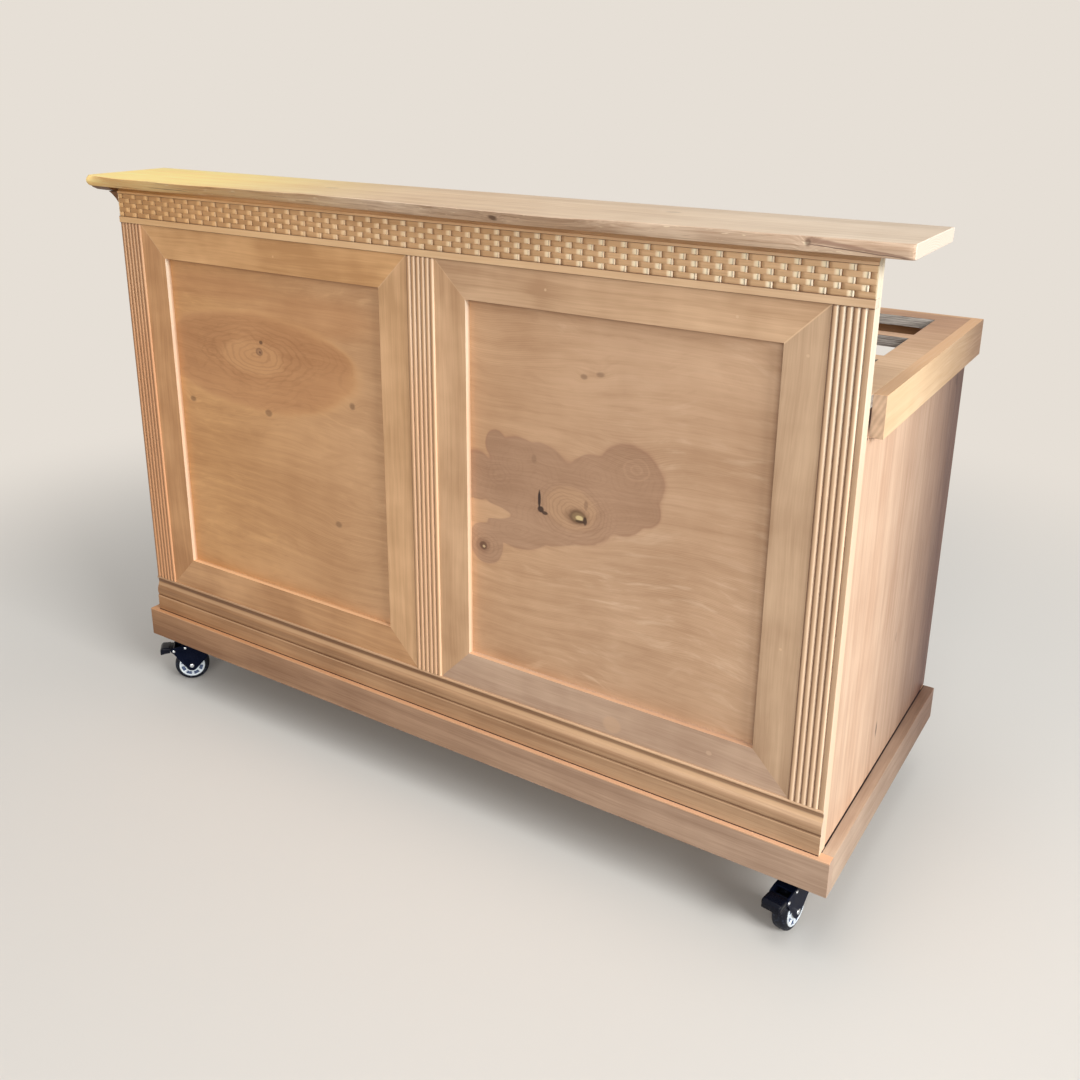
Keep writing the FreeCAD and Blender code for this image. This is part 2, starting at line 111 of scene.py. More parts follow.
class Value:
    """A node's output, which plain formulas can be written with."""

    def __init__(self, tree, socket):
        self.tree, self.socket = tree, socket

    def __add__(self, other):
        return self.tree.math("ADD", self, other)

    def __sub__(self, other):
        return self.tree.math("SUBTRACT", self, other)

    def __rsub__(self, other):
        return self.tree.math("SUBTRACT", other, self)

    def __mul__(self, other):
        return self.tree.math("MULTIPLY", self, other)

    def __truediv__(self, other):
        return self.tree.math("DIVIDE", self, other)

    def __abs__(self):
        return self.tree.math("ABSOLUTE", self)


class Tree:
    """A node tree, with short calls for the nodes that are used here."""

    def __init__(self, owner):
        owner.use_nodes = True
        self.nodes, self.links = owner.node_tree.nodes, owner.node_tree.links
        self.nodes.clear()

    def set(self, node, values):
        """Fill a node's inputs, given in order or by number or name."""
        for key, value in values.items() if isinstance(values, dict) else enumerate(values):
            if isinstance(value, Value):
                self.links.new(value.socket, node.inputs[key])
            elif value is not None:
                node.inputs[key].default_value = value

    def add(self, kind, values=(), output=0, **options):
        node = self.nodes.new("ShaderNode" + kind)
        for key, value in options.items():
            setattr(node, key, value)
        self.set(node, values)
        return Value(self, node.outputs[output])

    def math(self, operation, *values, clamp=False):
        return self.add("Math", values, operation=operation, use_clamp=clamp)

    def sine(self, value, rate):
        return self.math("SINE", value * (2 * pi * rate))

    def seen(self):
        """1 for rays from the camera and for mirrored ones, else 0."""
        first = self.add("LightPath", output="Is Camera Ray")
        return self.math("MAXIMUM", first, Value(self, first.socket.node.outputs["Is Glossy Ray"]))


class Paint(Tree):
    """A material whose colours are laid over one another. Colours are written from 0 to 255."""

    def __init__(self, name):
        self.material = bpy.data.materials.new(name)
        super().__init__(self.material)
        self.output = self.nodes.new("ShaderNodeOutputMaterial")
        self.shader = self.nodes.new("ShaderNodeBsdfPrincipled")
        self.links.new(self.shader.outputs[0], self.output.inputs[0])
        self.place = self.add("TexCoord", output="Object")

    def vector(self, operation, *values):
        output = "Value" if operation == "LENGTH" else "Vector"
        return self.add("VectorMath", values, output, operation=operation)

    def noise(self, vector, scale, detail=2.0, rough=0.5, shift=None, output="Fac"):
        if isinstance(scale, tuple):
            vector = self.add("Mapping", {"Vector": vector, "Scale": scale, "Location": shift})
            scale = 1.0
        return self.add("TexNoise", {"Vector": vector, "Scale": scale, "Detail": detail, "Roughness": rough}, output)

    def span(self, value, low, high, to_low=0.0, to_high=1.0, smooth=False):
        return self.add("MapRange", {"Value": value, "From Min": low, "From Max": high, "To Min": to_low,
                                     "To Max": to_high}, "Result",
                        interpolation_type="SMOOTHSTEP" if smooth else "LINEAR")

    def ease(self, value, *ends):
        return self.span(value, *ends, smooth=True)

    def mix(self, share, *tints):
        first, second = (colour(*tint) if isinstance(tint, tuple) and len(tint) == 3 else tint for tint in tints)
        return self.add("Mix", {0: share, 6: first, 7: second}, 2, data_type="RGBA", clamp_factor=True)

    def over(self, mask, tint):
        """Lay a colour over what is there, as far as the mask goes."""
        self.colours = self.mix(mask, self.colours, tint)

    def split(self, vector):
        node = self.add("SeparateXYZ", [vector]).socket.node
        return [Value(self, socket) for socket in node.outputs]

    def close(self, rough, height, relief, strength, specular=0.5, metallic=0.0):
        bump = self.add("Bump", {"Height": height, "Distance": relief, "Strength": strength})
        self.set(self.shader, {"Base Color": self.colours, "Roughness": rough, "Normal": bump,
                               "Specular IOR Level": specular, "Metallic": metallic})
        return self.material


class Wood(Paint):
    """Planed and lightly stained wood whose grain runs along one axis; face is the axis it is seen along.

    Knots, dots and blobs start with their place on the face and their half sizes, in millimetres."""

    def __init__(self, name, along, face, seed, wave=1.0):
        super().__init__(name)
        self.seed, self.core, self.near = seed, None, None
        self.order = (AXES[along], 3 - AXES[along] - AXES[face], AXES[face])
        self.normal = self.split(self.add("NewGeometry", output="Normal"))
        self.parts = self.split(self.place)
        self.a, self.b, self.c = (self.parts[axis] for axis in self.order)
        self.grain = self.join(self.b)
        self.bent = self.field((1.2, 4.0, 4.0)) * (0.10 * wave) + self.b
        self.bent = self.field((5.0, 22.0, 22.0), extra=2.0) * (0.014 * wave) + self.bent
        self.rough_edge = self.field((38.0, 60.0, 60.0), 3, extra=4.0)

    def join(self, across):
        return self.add("CombineXYZ", (self.a, across, self.c))

    def field(self, scales, detail=2, rough=0.5, extra=0.0, source=None):
        shift = (self.seed * 3.7 + extra, self.seed * 1.9 - extra, self.seed * 5.3 + extra)
        return self.noise(source or self.grain, scales, detail, rough, shift)

    def facing(self, axis, sign=1, low=0.55, high=0.9):
        """How much a surface looks along an axis, from 0 to 1."""
        return self.ease(self.normal[AXES[axis]], sign * low, sign * high)

    def off(self, axis, place):
        """Distance, in metres, from a plane given in millimetres."""
        return self.parts[AXES[axis]] - (place * MM + SHIFTS[AXES[axis]])

    def run(self, axis, start, stop, *ends, smooth=False):
        """A share of the way from one plane to another, given in millimetres."""
        low, high = (place * MM + SHIFTS[AXES[axis]] for place in (start, stop))
        return self.span(self.parts[AXES[axis]], low, high, *ends, smooth=smooth)

    def spot(self, first, second, half_first, half_second):
        """Distance from a place on the face, 1 at the rim of its ellipse."""
        places, rates = {}, {}
        axes = [axis for axis in range(3) if axis != self.order[2]]
        for axis, place, half in zip(axes, (first, second), (half_first, half_second)):
            places[axis], rates[axis] = place * MM + SHIFTS[axis], 1 / (half * MM)
        along, across, _ = self.order
        away = self.vector("SUBTRACT", self.grain, (places[along], places[across], 0))
        return self.vector("LENGTH", self.vector("MULTIPLY", away, (rates[along], rates[across], 0)))

    def patch(self, first, second, wide, high, share, tint, ragged=0.0, rim=(0.8, 1.2)):
        reach = self.rough_edge * ragged + self.spot(first, second, wide, high)
        self.over(self.ease(reach, *rim, share, 0.0), tint)

    def knot(self, first, second, half_first, half_second, push=0.03, dark=0.7):
        """Grain that runs round a place, with a dark core unless dark is 0."""
        reach = self.spot(first, second, half_first, half_second)
        squared = reach * reach
        self.bent = self.math("EXPONENT", squared * -0.16) * push + self.bent
        halo = self.math("EXPONENT", squared * -0.07)
        self.near = self.math("MAXIMUM", self.near, halo) if self.near else halo
        if dark:
            core = self.ease(self.rough_edge * 0.9 + reach, 1.0, 1.7, 1.0, 0.0) * dark
            self.core = self.math("MAXIMUM", self.core, core) if self.core else core

    def tone(self, fine=1.0, middle=1.0, broad=1.0, cloud=1.0, rings=0.0, fine_rate=420.0):
        """Grain strength from 0, light, to 1, dark."""
        line = self.join(self.bent)
        self.fine = self.field((13.0, fine_rate, fine_rate), 2, 0.6, source=line)
        self.middle = self.field((3.6, 95.0, 95.0), 3, 0.55, 1.0, line)
        self.broad = self.field((1.3, 24.0, 24.0), 2, 0.5, 3.0, line)
        self.cloud = self.noise(self.place, (6.5, 6.5, 6.5), 3, 0.55, (self.seed, 0, 0))
        weights = (0.75 * fine, 1.1 * middle, 1.2 * broad, 1.3 * cloud)
        value = 0.5 - 0.5 * sum(weights)
        for part, weight in zip((self.fine, self.middle, self.broad, self.cloud), weights):
            value = part * weight + value
        if rings:
            wave = abs(self.sine(self.bent * (1 / 0.0052) + self.middle * (5.0 / (2 * pi)), 1))
            value = self.math("POWER", wave, 3.0) * (self.near * rings) + value
        return self.math("ADD", value, 0.0, clamp=True)

    def stain(self, value, tones, drift="x", start=0.0, stop=WALL):
        """Two colours for a tone, light and dark, or a pair at each end of the drift."""
        ends = [self.mix(value, *pair) for pair in tones]
        self.colours = self.mix(self.run(drift, start, stop), *ends) if len(ends) == 2 else ends[0]

    def finish(self, low=0.42, high=0.58, relief=0.00016):
        if self.core:
            self.over(self.core, (74, 48, 34))
        return self.close(self.span(self.fine, 0.3, 0.7, low, high), self.middle * 0.6 + self.fine, relief, 0.7, 0.35)


def board(name, along, face, tones, seed, drift="x", start=0.0, stop=WALL, wave=0.4, fine=1.0, middle=1.0,
          broad=1.0, cloud=1.0, knots=(), dots=(), lines=(), mitres=(), pale=None, lean=(0.55, 0.9), fade=None,
          ramp=None, shade=None, up=None, valley=None, ends=None):
    """A plain stained board. pale is the colour of painted highlight on its faces that look along +X, towards the
    light, and lean the range over which a flank takes that painted highlight. ramp is the same, at the left and at
    the right, for slopes that only lean that way. shade is the colour of painted shade on slopes that lean along -X,
    up that of painted light on faces that look up, and both pale and up run out with depth where fade is (start,
    stop) along y. valley is (depth of crest, depth of valley, share, colour) along y, painted shade that darkens
    into the valleys, lines are (axis, place, half width, share, colour), mitres are (x, z, sign, share) of a joint's
    diagonal, and ends is (light, dark, slant) of the end grain."""
    paint = Wood(name, along, face, seed, wave)
    for knot in knots:
        paint.knot(*knot)
    value = paint.tone(fine, middle, broad, cloud)
    paint.stain(value, tones, drift, start, stop)
    for dot in dots:
        paint.patch(*dot)
    # Painted shade that darkens towards the valleys' depth
    if valley:
        crest, depth, share, tint = valley
        paint.over(paint.run("y", crest, depth, 0.0, share, smooth=True), tint)
    # Thin lines of colour; the callers use them for painted shade in joints and grooves and painted highlights on edges
    for axis, place, half, share, tint in lines:
        strong = paint.middle * (share * 0.6) + share * 0.7
        line = paint.ease(abs(paint.off(axis, place)), half * 0.5 * MM, half * MM, 1.0, 0.0)
        paint.over(line * strong, tint)
    for across, high, sign, share in mitres:
        away = abs(paint.off("z", high) * -sign + paint.off("x", across))
        paint.over(paint.ease(away, 0.0008, 0.0021, share, 0.0), (240, 208, 170))
    # Painted shade on slopes that lean along -X, away from the light
    if shade:
        paint.over(paint.facing("x", -1, 0.0, 0.8), shade)
    # Painted highlight on slopes that lean along +X, towards the light
    if ramp:
        paint.over(paint.facing("x", 1, 0.06, 0.50), paint.mix(paint.run("x", 262, 1262), *ramp))
    shallow = paint.run("y", *fade, 1.0, 0.3) if fade else 1.0
    # Painted light on faces that look up
    if up:
        paint.over(paint.facing("z") * (shallow * 0.85), paint.mix(paint.run("x", 162, 1362), *up))
    if ends:
        light, dark, slant = ends
        ring = paint.sine(paint.rough_edge * 0.004 + (paint.b * slant + paint.c), 1 / 0.0085) * paint.cloud
        striped = paint.mix(paint.math("ADD", ring * 0.26, paint.rough_edge, clamp=True), light, dark)
        paint.over(paint.ease(abs(paint.normal[AXES[along]]), 0.6, 0.9), striped)
    # Painted highlight on faces that look along +X, towards the light, warmer lower down
    if pale:
        warm = (pale[0], int(pale[1] * 0.925), int(pale[2] * 0.875))
        light = paint.mix(paint.run("z", *WARM_BELOW, smooth=True), warm, pale)
        light = paint.mix(value * 0.5, light, tuple(int(part * 0.86) for part in pale))
        paint.over(paint.facing("x", 1, *lean) * shallow, light)
    return paint.finish()


def heart_mask(paint, blobs, hollows=(), ragged=0.30, rim=0.05):
    """A patch of heartwood: a union of ellipses with a wandering edge, and the line along that edge."""
    field = None
    for blob in blobs:
        inside = 1.0 - paint.spot(*blob)
        field = paint.math("SMOOTH_MAX", field, inside, 0.22) if field else inside
    for hollow in hollows:
        field = paint.math("SMOOTH_MIN", field, paint.spot(*hollow) - 1.0, 0.15)
    wander = paint.noise(paint.grain, (11, 15, 15), 4, 0.6, (paint.seed, 4, 2))
    field = field + (wander - 0.5) * (ragged * 2)
    return paint.ease(field, -rim, rim), paint.math("EXPONENT", field * field * -160.0), field


# The veneer's knots: place, half sizes, push of the grain round them, darkness
VENEER_KNOTS = (
    (355, 829, 14, 10, 0.026, 0.0), (222, 817, 24, 13, 0.010, 0.0), (155, 703, 9, 6.5, 0.010, 0.5),
    (369, 708, 9.5, 6.5, 0.012, 0.46), (587, 758, 7.5, 7, 0.012, 0.5), (539, 512, 9, 7, 0.010, 0.42),
    (361, 848, 4.6, 3.6, 0.0, 0.75), (560, 430, 60, 40, 0.018, 0.0), (1070, 650, 22, 16, 0.034, 0.0),
    (880, 551, 14, 11, 0.018, 0.0), (1174, 751, 26, 20, 0.020, 0.0), (1076, 888, 6.5, 4.6, 0.006, 0.40),
    (1106, 896, 8.5, 4.8, 0.006, 0.38), (913, 920, 34, 20, 0.008, 0.0), (893, 683, 12, 10, 0.010, 0.0),
    (984, 733, 5, 8, -0.006, 0.2), (1300, 560, 80, 50, -0.018, 0.0), (940, 470, 70, 36, 0.016, 0.0))
# Ellipses that make up the dark island on the right panel: place, half sizes
ISLAND = (
    (944, 714, 50, 50), (996, 702, 60, 62), (1164, 730, 62, 60), (1060, 668, 88, 70), (1000, 632, 84, 50),
    (886, 558, 36, 38), (950, 597, 62, 34), (1190, 686, 30, 28), (868, 680, 38, 46), (914, 664, 40, 34),
    (908, 744, 22, 26), (954, 738, 40, 28), (1100, 722, 46, 40), (1146, 668, 44, 34))
# Growth rings: place, half sizes, rings in a half size, reach, share, colour
RINGS = (
    (344, 822, 104, 44, 4.6, 1.9, 0.30, (150, 104, 68)), (1060, 656, 62, 44, 7.0, 1.6, 0.30, (136, 100, 74)),
    (222, 812, 34, 18, 2.5, 1.3, 0.22, (146, 102, 68)), (884, 553, 30, 24, 3.0, 1.3, 0.34, (132, 96, 72)),
    (1174, 751, 30, 25, 2.6, 1.3, 0.30, (204, 168, 138)), (913, 690, 26, 24, 2.6, 1.3, 0.20, (140, 104, 82)))
# Eyes of the knots, from the outside in: place, half sizes, share, colour
EYES = (
    (355, 829, 9.5, 8.5, 0.75, (112, 80, 62)), (355, 829, 7.0, 6.2, 0.8, (176, 134, 98)),
    (357, 828, 3.0, 2.8, 0.8, (100, 68, 54)), (1069, 648, 26, 16, 0.45, (128, 96, 72)),
    (1070, 648, 17, 12, 0.85, (104, 78, 58)), (1071, 648, 13, 8.5, 0.8, (150, 124, 92)),
    (1073, 647, 7.5, 4.5, 0.9, (222, 200, 150)), (1084, 644, 4.0, 8.0, 0.85, (60, 42, 34)),
    (1074, 641, 9.0, 2.6, 0.8, (66, 46, 36)), (880, 552, 16, 15, 0.35, (120, 84, 64)),
    (880, 551, 8.5, 8, 0.8, (96, 66, 52)), (881, 550, 3.2, 2.6, 0.85, (214, 190, 150)),
    (1085, 672, 4, 9, 0.4, (112, 82, 66)), (995, 664, 3.0, 17, 0.95, (40, 26, 26)),
    (998, 646, 6.5, 6.0, 0.9, (44, 28, 26)), (1006, 641, 6.0, 3.4, 0.85, (52, 34, 30)))
# The dark line and soft shade that the frames leave along the panels' tops and right sides:
# axis, place, half width, share
FRAME_SHADOWS = (
    ("x", 669.25, 13, 0.30), ("x", 1402, 15, 0.34), ("z", 988.4, 9, 0.26), ("x", 669.25, 3.6, 0.80),
    ("x", 1402, 4.6, 0.86), ("z", 988.4, 3.0, 0.72))


def veneer():
    """The two panels: knotty veneer with its grain across, ringed knots and darker patches of heartwood."""
    paint = Wood("panel_veneer", "x", "y", 0.35)
    for knot in VENEER_KNOTS:
        paint.knot(*knot)
    value = paint.tone(0.6, 0.55, 0.42, 0.8, rings=0.2)
    paint.stain(value, (((218, 170, 120), (176, 128, 83)), ((218, 184, 153), (178, 142, 112))), "x", 200, 1150)

    # Light and dark wisps that curl across the grain
    curl = paint.noise(paint.grain, (3.2, 6.0, 6.0), shift=(2, 9, 4), output="Color")
    turned = paint.vector("ADD", paint.join(paint.bent), paint.vector("MULTIPLY", curl, (0.16, 0.13, 0.0)))
    wisps = paint.noise(turned, (13, 64, 64), 4, 0.6, (7, 3, 1))
    fade = paint.noise(paint.grain, (4.0, 5.0, 5.0), shift=(5, 1, 8))
    across = paint.run("x", 362, 1162)
    paint.over(paint.ease(wisps, 0.5, 0.72) * paint.span(fade, 0.42, 0.62, 0.06, 0.42),
               paint.mix(across, (226, 178, 126), (232, 204, 176)))
    paint.over(paint.ease(wisps, 0.48, 0.3) * 0.24, paint.mix(across, (164, 118, 76), (170, 134, 106)))

    # Heartwood: a broad lens with a pointed end on the left panel, a dark island on the right one
    lens, rim_line, lens_field = heart_mask(paint, ((330, 806, 262, 96), (500, 832, 92, 40)), ragged=0.10)
    band, _, _ = heart_mask(paint, ((500, 912, 150, 40), (250, 945, 150, 26)), ragged=0.22, rim=0.45)
    island, island_line, island_field = heart_mask(paint, ISLAND, hollows=((868, 621, 68, 15),), ragged=0.13, rim=0.04)
    left_dark = paint.mix(value, (204, 154, 110), (172, 122, 82))
    right_dark = paint.mix(value, (192, 157, 130), (154, 119, 94))
    for mask, tint in ((lens * 0.85, left_dark), (band * 0.55, left_dark), (island * 0.92, right_dark)):
        paint.over(mask, tint)
    for shape, rate, share, tint in ((island_field, 5.0, 0.12, (138, 102, 78)),
                                     (lens_field, 6.0, 0.17, (150, 104, 68))):
        wander = paint.noise(paint.grain, (8, 14, 14), 3, 0.5, (rate, 2, 6))
        contour = paint.ease(paint.sine(wander * 1.1 + shape, rate), 0.2, 1.0, 0.0, share)
        contour = contour * paint.ease(shape, 0.0, 0.06)
        paint.over(contour * paint.span(paint.middle, 0.35, 0.6, 0.4, 1.0), tint)
    paint.over(island_line * paint.span(paint.cloud, 0.4, 0.6, 0.1, 0.7) * 0.6, (158, 116, 94))
    paint.over(rim_line * 0.35, (216, 168, 120))

    # Lighter, closely ringed wood round the two main knots
    for halo in ((335, 815, 92, 38, 0.55, (212, 164, 118)), (1056, 660, 54, 41, 0.42, (206, 168, 132))):
        paint.patch(*halo, 0.25, (0.85, 1.2))
    for first, second, wide, high, rings, reached, share, tint in RINGS:
        reach = paint.spot(first, second, wide, high)
        wander = paint.noise(paint.grain, (9, 16, 16), 3, 0.55, (first, 2, second))
        line = paint.ease(paint.sine(wander * 0.95 + (paint.rough_edge * 0.05 + reach), rings), 0.1, 1.0)
        mask = paint.ease(reach, reached * 0.55, reached, share, 0.0) * line
        paint.over(mask * paint.span(paint.cloud, 0.3, 0.62, 0.35, 1.0), tint)
    for eye in EYES:
        paint.patch(*eye, 0.5, (0.95, 1.45))
    for axis, place, half, share in FRAME_SHADOWS:
        mask = paint.ease(abs(paint.off(axis, place)), half * 0.3 * MM, half * MM, share, 0.0)
        paint.over(mask, (104, 66, 46))
    # Painted highlight on the sheet's faces that look along +X, towards the light, warmer lower down
    edge = paint.mix(paint.run("z", *WARM_BELOW, smooth=True), (250, 222, 190), (252, 243, 220))
    paint.over(paint.facing("x"), edge)
    return paint.finish(0.4, 0.52, 0.00009)


def live_bark():
    """The plank's waney face: fine wavy lines along it, flakes, two knots and a dark stain near the right."""
    paint = Wood("live_edge", "x", "y", 1.7, wave=0.25)
    paint.knot(*EDGE_KNOTS[0], 9, 5, 0.010, 0.75)
    paint.knot(*EDGE_KNOTS[1], 5, 6, 0.012, 0.6)
    value = paint.tone(1.6, 1.6, 0.8, 0.9, fine_rate=520.0)
    paint.stain(value, (((255, 232, 160), (250, 198, 126)), ((236, 214, 190), (186, 156, 132))), "x", -50, 700)
    dark = paint.field((9.0, 260.0, 60.0), 3, 0.65, 6.0)
    paint.over(paint.ease(dark, 0.56, 0.70, 0.0, 0.6), (150, 112, 84))
    flake = paint.field((45.0, 240.0, 60.0), 2, 0.6, 8.0)
    paint.over(paint.ease(flake, 0.64, 0.72, 0.0, 0.6), (252, 236, 208))
    # A dark band that slants down to the right from the last knot, thinning out, with a thin line under it
    along = paint.off("x", 1434)
    fall = (paint.rough_edge - 0.5) * 0.004 + (along * 0.105 + paint.off("z", 1141))
    thick = paint.span(along, 0.0, 0.125, 0.0062, 0.0016)
    reach = paint.ease(along, -0.004, 0.012) * paint.ease(along, 0.150, 0.125)
    paint.over(paint.ease(1.0 - abs(fall) / thick, 0.0, 0.7, 0.0, 0.66) * reach, (132, 98, 82))
    paint.over(paint.ease(abs(fall + thick), 0.0004, 0.0011, 0.75, 0.0) * reach, (84, 56, 48))
    return paint.finish(0.5, 0.65, 0.0003)


def top_face():
    paint = Wood("plank_top_face", "x", "z", 2.6, wave=0.5)
    paint.knot(520, 60, 16, 8, 0.02, 0.25)
    paint.knot(1180, 90, 14, 8, 0.02, 0.25)
    value = paint.tone(1.0, 0.9, 0.9, 0.7)
    # The top is painted yellow towards its left end, standing for a pool of warm light that falls there
    left, middle, right = (paint.mix(value, *pair) for pair in (
        ((255, 240, 152), (255, 214, 122)), ((228, 199, 163), (192, 158, 122)), ((230, 212, 190), (198, 176, 152))))
    near = paint.mix(paint.run("x", 100, 750, smooth=True), left, middle)
    paint.colours = paint.mix(paint.run("x", 750, 1500), near, right)
    return paint.finish(0.36, 0.5, 0.0001)


def plank_end():
    """Growth rings cut across, as arcs about a line that lies off the plank."""
    paint = Paint("plank_end")
    away = paint.vector("SUBTRACT", paint.place, (0.8, FRONT + 0.05, 1.02))
    away = paint.vector("LENGTH", paint.vector("MULTIPLY", away, (0.0, 1.0, 1.0)))
    ray = paint.noise(paint.place, 900)
    ring = paint.sine(paint.noise(paint.place, 60, 3) * 0.006 + away, 300.0)
    value = paint.math("ADD", ring * 0.22, ray * 0.5 + 0.2, clamp=True)
    paint.colours = paint.mix(value, (250, 240, 228), (226, 204, 184))
    return paint.close(paint.span(ray, 0.3, 0.7, 0.55, 0.7), value, 0.0002, 0.5)


def counter_top():
    """The counter board: stained on top, bare streaked plies on the cut faces of the wells."""
    paint = Wood("counter_board", "x", "z", 4.1, wave=0.8)
    value = paint.tone(0.8, 0.8, 0.8, 0.8)
    # Darker towards the rear: a painted falloff of the light
    paint.stain(value, (((246, 214, 176), (214, 174, 134)), ((190, 148, 116), (150, 112, 84))), "y", 80, 520)
    plies = paint.noise(paint.place, (22, 22, 620), 3, 0.65, (3, 3, 3))
    paint.over(paint.ease(1.0 - abs(paint.normal[2]), 0.3, 0.7),
               paint.mix(paint.span(plies, 0.36, 0.64), (206, 202, 196), (112, 104, 98)))
    return paint.finish()


def metal(name, tone, low, high, metallic=0.0, gain=1.5, sheen=0.5):
    """Paint, plastic or steel with a fine grain and cloudy wear."""
    paint = Paint(name)
    grainy, broad = paint.noise(paint.place, 300, 3), paint.noise(paint.place, 45, 3)
    lighter = (*[min(value * gain + 0.004, 1.0) for value in colour(*tone)[:3]], 1.0)
    paint.colours = paint.mix(paint.span(grainy * broad, 0.15, 0.4), tone, lighter)
    return paint.close(paint.span(broad, 0.3, 0.7, low, high), grainy, 0.00008, 0.4, sheen, metallic)


def rubber():
    """Black rubber, with grey-blue flecks in the tread that are partly grime ground into it and partly a painted sheen
    of reflected light.
    """
    paint = Paint("tyre_rubber")
    dust_and_sheen, cloud = paint.noise(paint.place, 240, 4, 0.7), paint.noise(paint.place, 60, 3)
    share = paint.span(dust_and_sheen, 0.5, 0.68, 0.0, 0.55) * paint.span(cloud, 0.4, 0.6)
    paint.colours = paint.mix(share, (12, 16, 27), (88, 98, 120))
    return paint.close(paint.span(dust_and_sheen, 0.3, 0.7, 0.42, 0.62), dust_and_sheen, 0.0002, 0.5, 0.22)


# ---- Shapes

def curve_through(shares, where):
    """A smooth value at a share 0..1 along evenly spaced shares."""
    place = min(max(where, 0.0), 1.0) * (len(shares) - 1)
    index = min(int(place), len(shares) - 2)
    t = place - index
    before = shares[max(index - 1, 0)]
    here, after = shares[index], shares[index + 1]
    beyond = shares[min(index + 2, len(shares) - 1)]
    return 0.5 * (2 * here + (after - before) * t + (2 * before - 5 * here + 4 * after - beyond) * t ** 2
                  + (3 * here - before - 3 * after + beyond) * t ** 3)


def loft(work, rings, around=False):
    """Faces between rings of places. The last ring meets the first one, or else both are closed off."""
    rows = [[work.verts.new(place) for place in ring] for ring in rings]
    count = len(rows[0])
    for low, high in zip(rows, rows[1:] + rows[:around]):
        for index in range(count):
            after = (index + 1) % count
            work.faces.new((low[index], low[after], high[after], high[index]))
    if not around:
        work.faces.new(rows[0])
        work.faces.new(rows[-1])


def place_thing(name, data):
    """An object in the scene from a bmesh, or from the data of a lamp or camera."""
    if isinstance(data, bmesh.types.BMesh):
        mesh = bpy.data.meshes.new(name)
        data.to_mesh(mesh)
        data.free()
        data = mesh
    thing = bpy.data.objects.new(name, data)
    bpy.context.scene.collection.objects.link(thing)
    return thing


def soften(thing, width, steps=2, angle=32, weld=False):
    """Round the sharp edges a little, as a worn or sanded edge is."""
    if weld:
        thing.modifiers.new("weld", "WELD").merge_threshold = 0.00001
    edge = thing.modifiers.new("bevel", "BEVEL")
    edge.width = width * MM
    edge.segments = steps
    edge.limit_method = "ANGLE"
    edge.angle_limit = radians(angle)
    edge.harden_normals = True
    edge.use_clamp_overlap = True


def make(name, work, body, materials, replaces=(), matrix=None, bevel=0.0, angle=32):
    """Turn a bmesh into a piece that rides on a body."""
    bmesh.ops.recalc_face_normals(work, faces=work.faces)
    for edge in work.edges:
        if len(edge.link_faces) == 2 and edge.calc_face_angle() > radians(angle):
            edge.smooth = False
    for face in work.faces:
        face.smooth = True
    thing = place_thing(name, work)
    if matrix is not None:
        thing.data.transform(matrix)
    for material in materials:
        thing.data.materials.append(material)
    if bevel:
        soften(thing, bevel, angle=angle)
    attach(thing, body)
    if replaces:
        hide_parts(*replaces)
    return thing


def plank():
    """The bar top: square ends and rear, and a waney front edge with grain ridges and small knots."""
    left, right = -OVERHANG, WALL + OVERHANG
    front_limit = (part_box("bar_top")[0].y - FRONT) / MM + 0.05
    count, face_steps, rear_round = 520, 9, 7
    rings = []
    for step in range(count + 1):
        share = step / count
        x = left + (right - left) * share
        upper = EDGE_REACH + UPPER_WAVE * curve_through(UPPER, share)
        lower = EDGE_REACH + LOWER_WAVE * curve_through(LOWER, share)
        round_in = max(0.0, 1.0 - min(x - left, right - x) / 6.0) ** 2 * 4.0
        ring = []
        for index in range(face_steps + 1):
            rise = index / face_steps
            z = TOP_LOW + (TOP_HIGH - TOP_LOW) * (0.04 + 0.92 * rise)
            reach = lower + (upper - lower) * rise
            belly = (1.4 + 6.0 * exp(-(x - left) / 22.0)) * sin(pi * rise)
            ripple = 0.7 * noise.noise(Vector((x * 0.012, z * 0.55, 3.0)))
            fine = 0.35 * noise.noise(Vector((x * 0.05, z * 1.1, 9.0)))
            knot = sum(high * exp(-((x - knot_x) / wide) ** 2 - ((z - knot_z) / 5) ** 2)
                       for (knot_x, knot_z), high, wide in zip(EDGE_KNOTS, (1.6, 1.2), (13, 9)))
            ring.append((max(-(reach + belly + ripple + fine - knot * 0.8) + round_in, front_limit), z))
        low_edge, top_edge = ring[0][0], ring[-1][0]
        ring += [(top_edge + 1.2, TOP_HIGH - 0.1), (top_edge + 3.2, TOP_HIGH)]
        ring += [(top_edge + (TOP_REAR - top_edge) * part, TOP_HIGH) for part in (0.3, 0.65)]
        ring += [(TOP_REAR - 4.4, TOP_HIGH), (TOP_REAR - 1.3, TOP_HIGH - 1.3), (TOP_REAR, TOP_HIGH - 4.4)]
        for turn in range(6):
            angle = radians(90 * turn / 5)
            ring.append((TOP_REAR - rear_round * (1 - cos(angle)), TOP_LOW + rear_round * (1 - sin(angle))))
        ring += [(low_edge + 14, TOP_LOW), (low_edge + 2.4, TOP_LOW)]
        if 0 < step < count:
            rings.append([at(x, y, z) for y, z in ring])
            continue
        # The sawn ends have a small chamfer all round
        middle = sum(y for y, _ in ring) / len(ring)
        face = [at(x, y + (0.8 if y < middle else -0.8), min(max(z, TOP_LOW + 0.8), TOP_HIGH - 0.8)) for y, z in ring]
        body = [at(x + (0.9 if step == 0 else -0.9), y, z) for y, z in ring]
        rings += [face, body] if step == 0 else [body, face]
    work = bmesh.new()
    loft(work, rings)
    return work


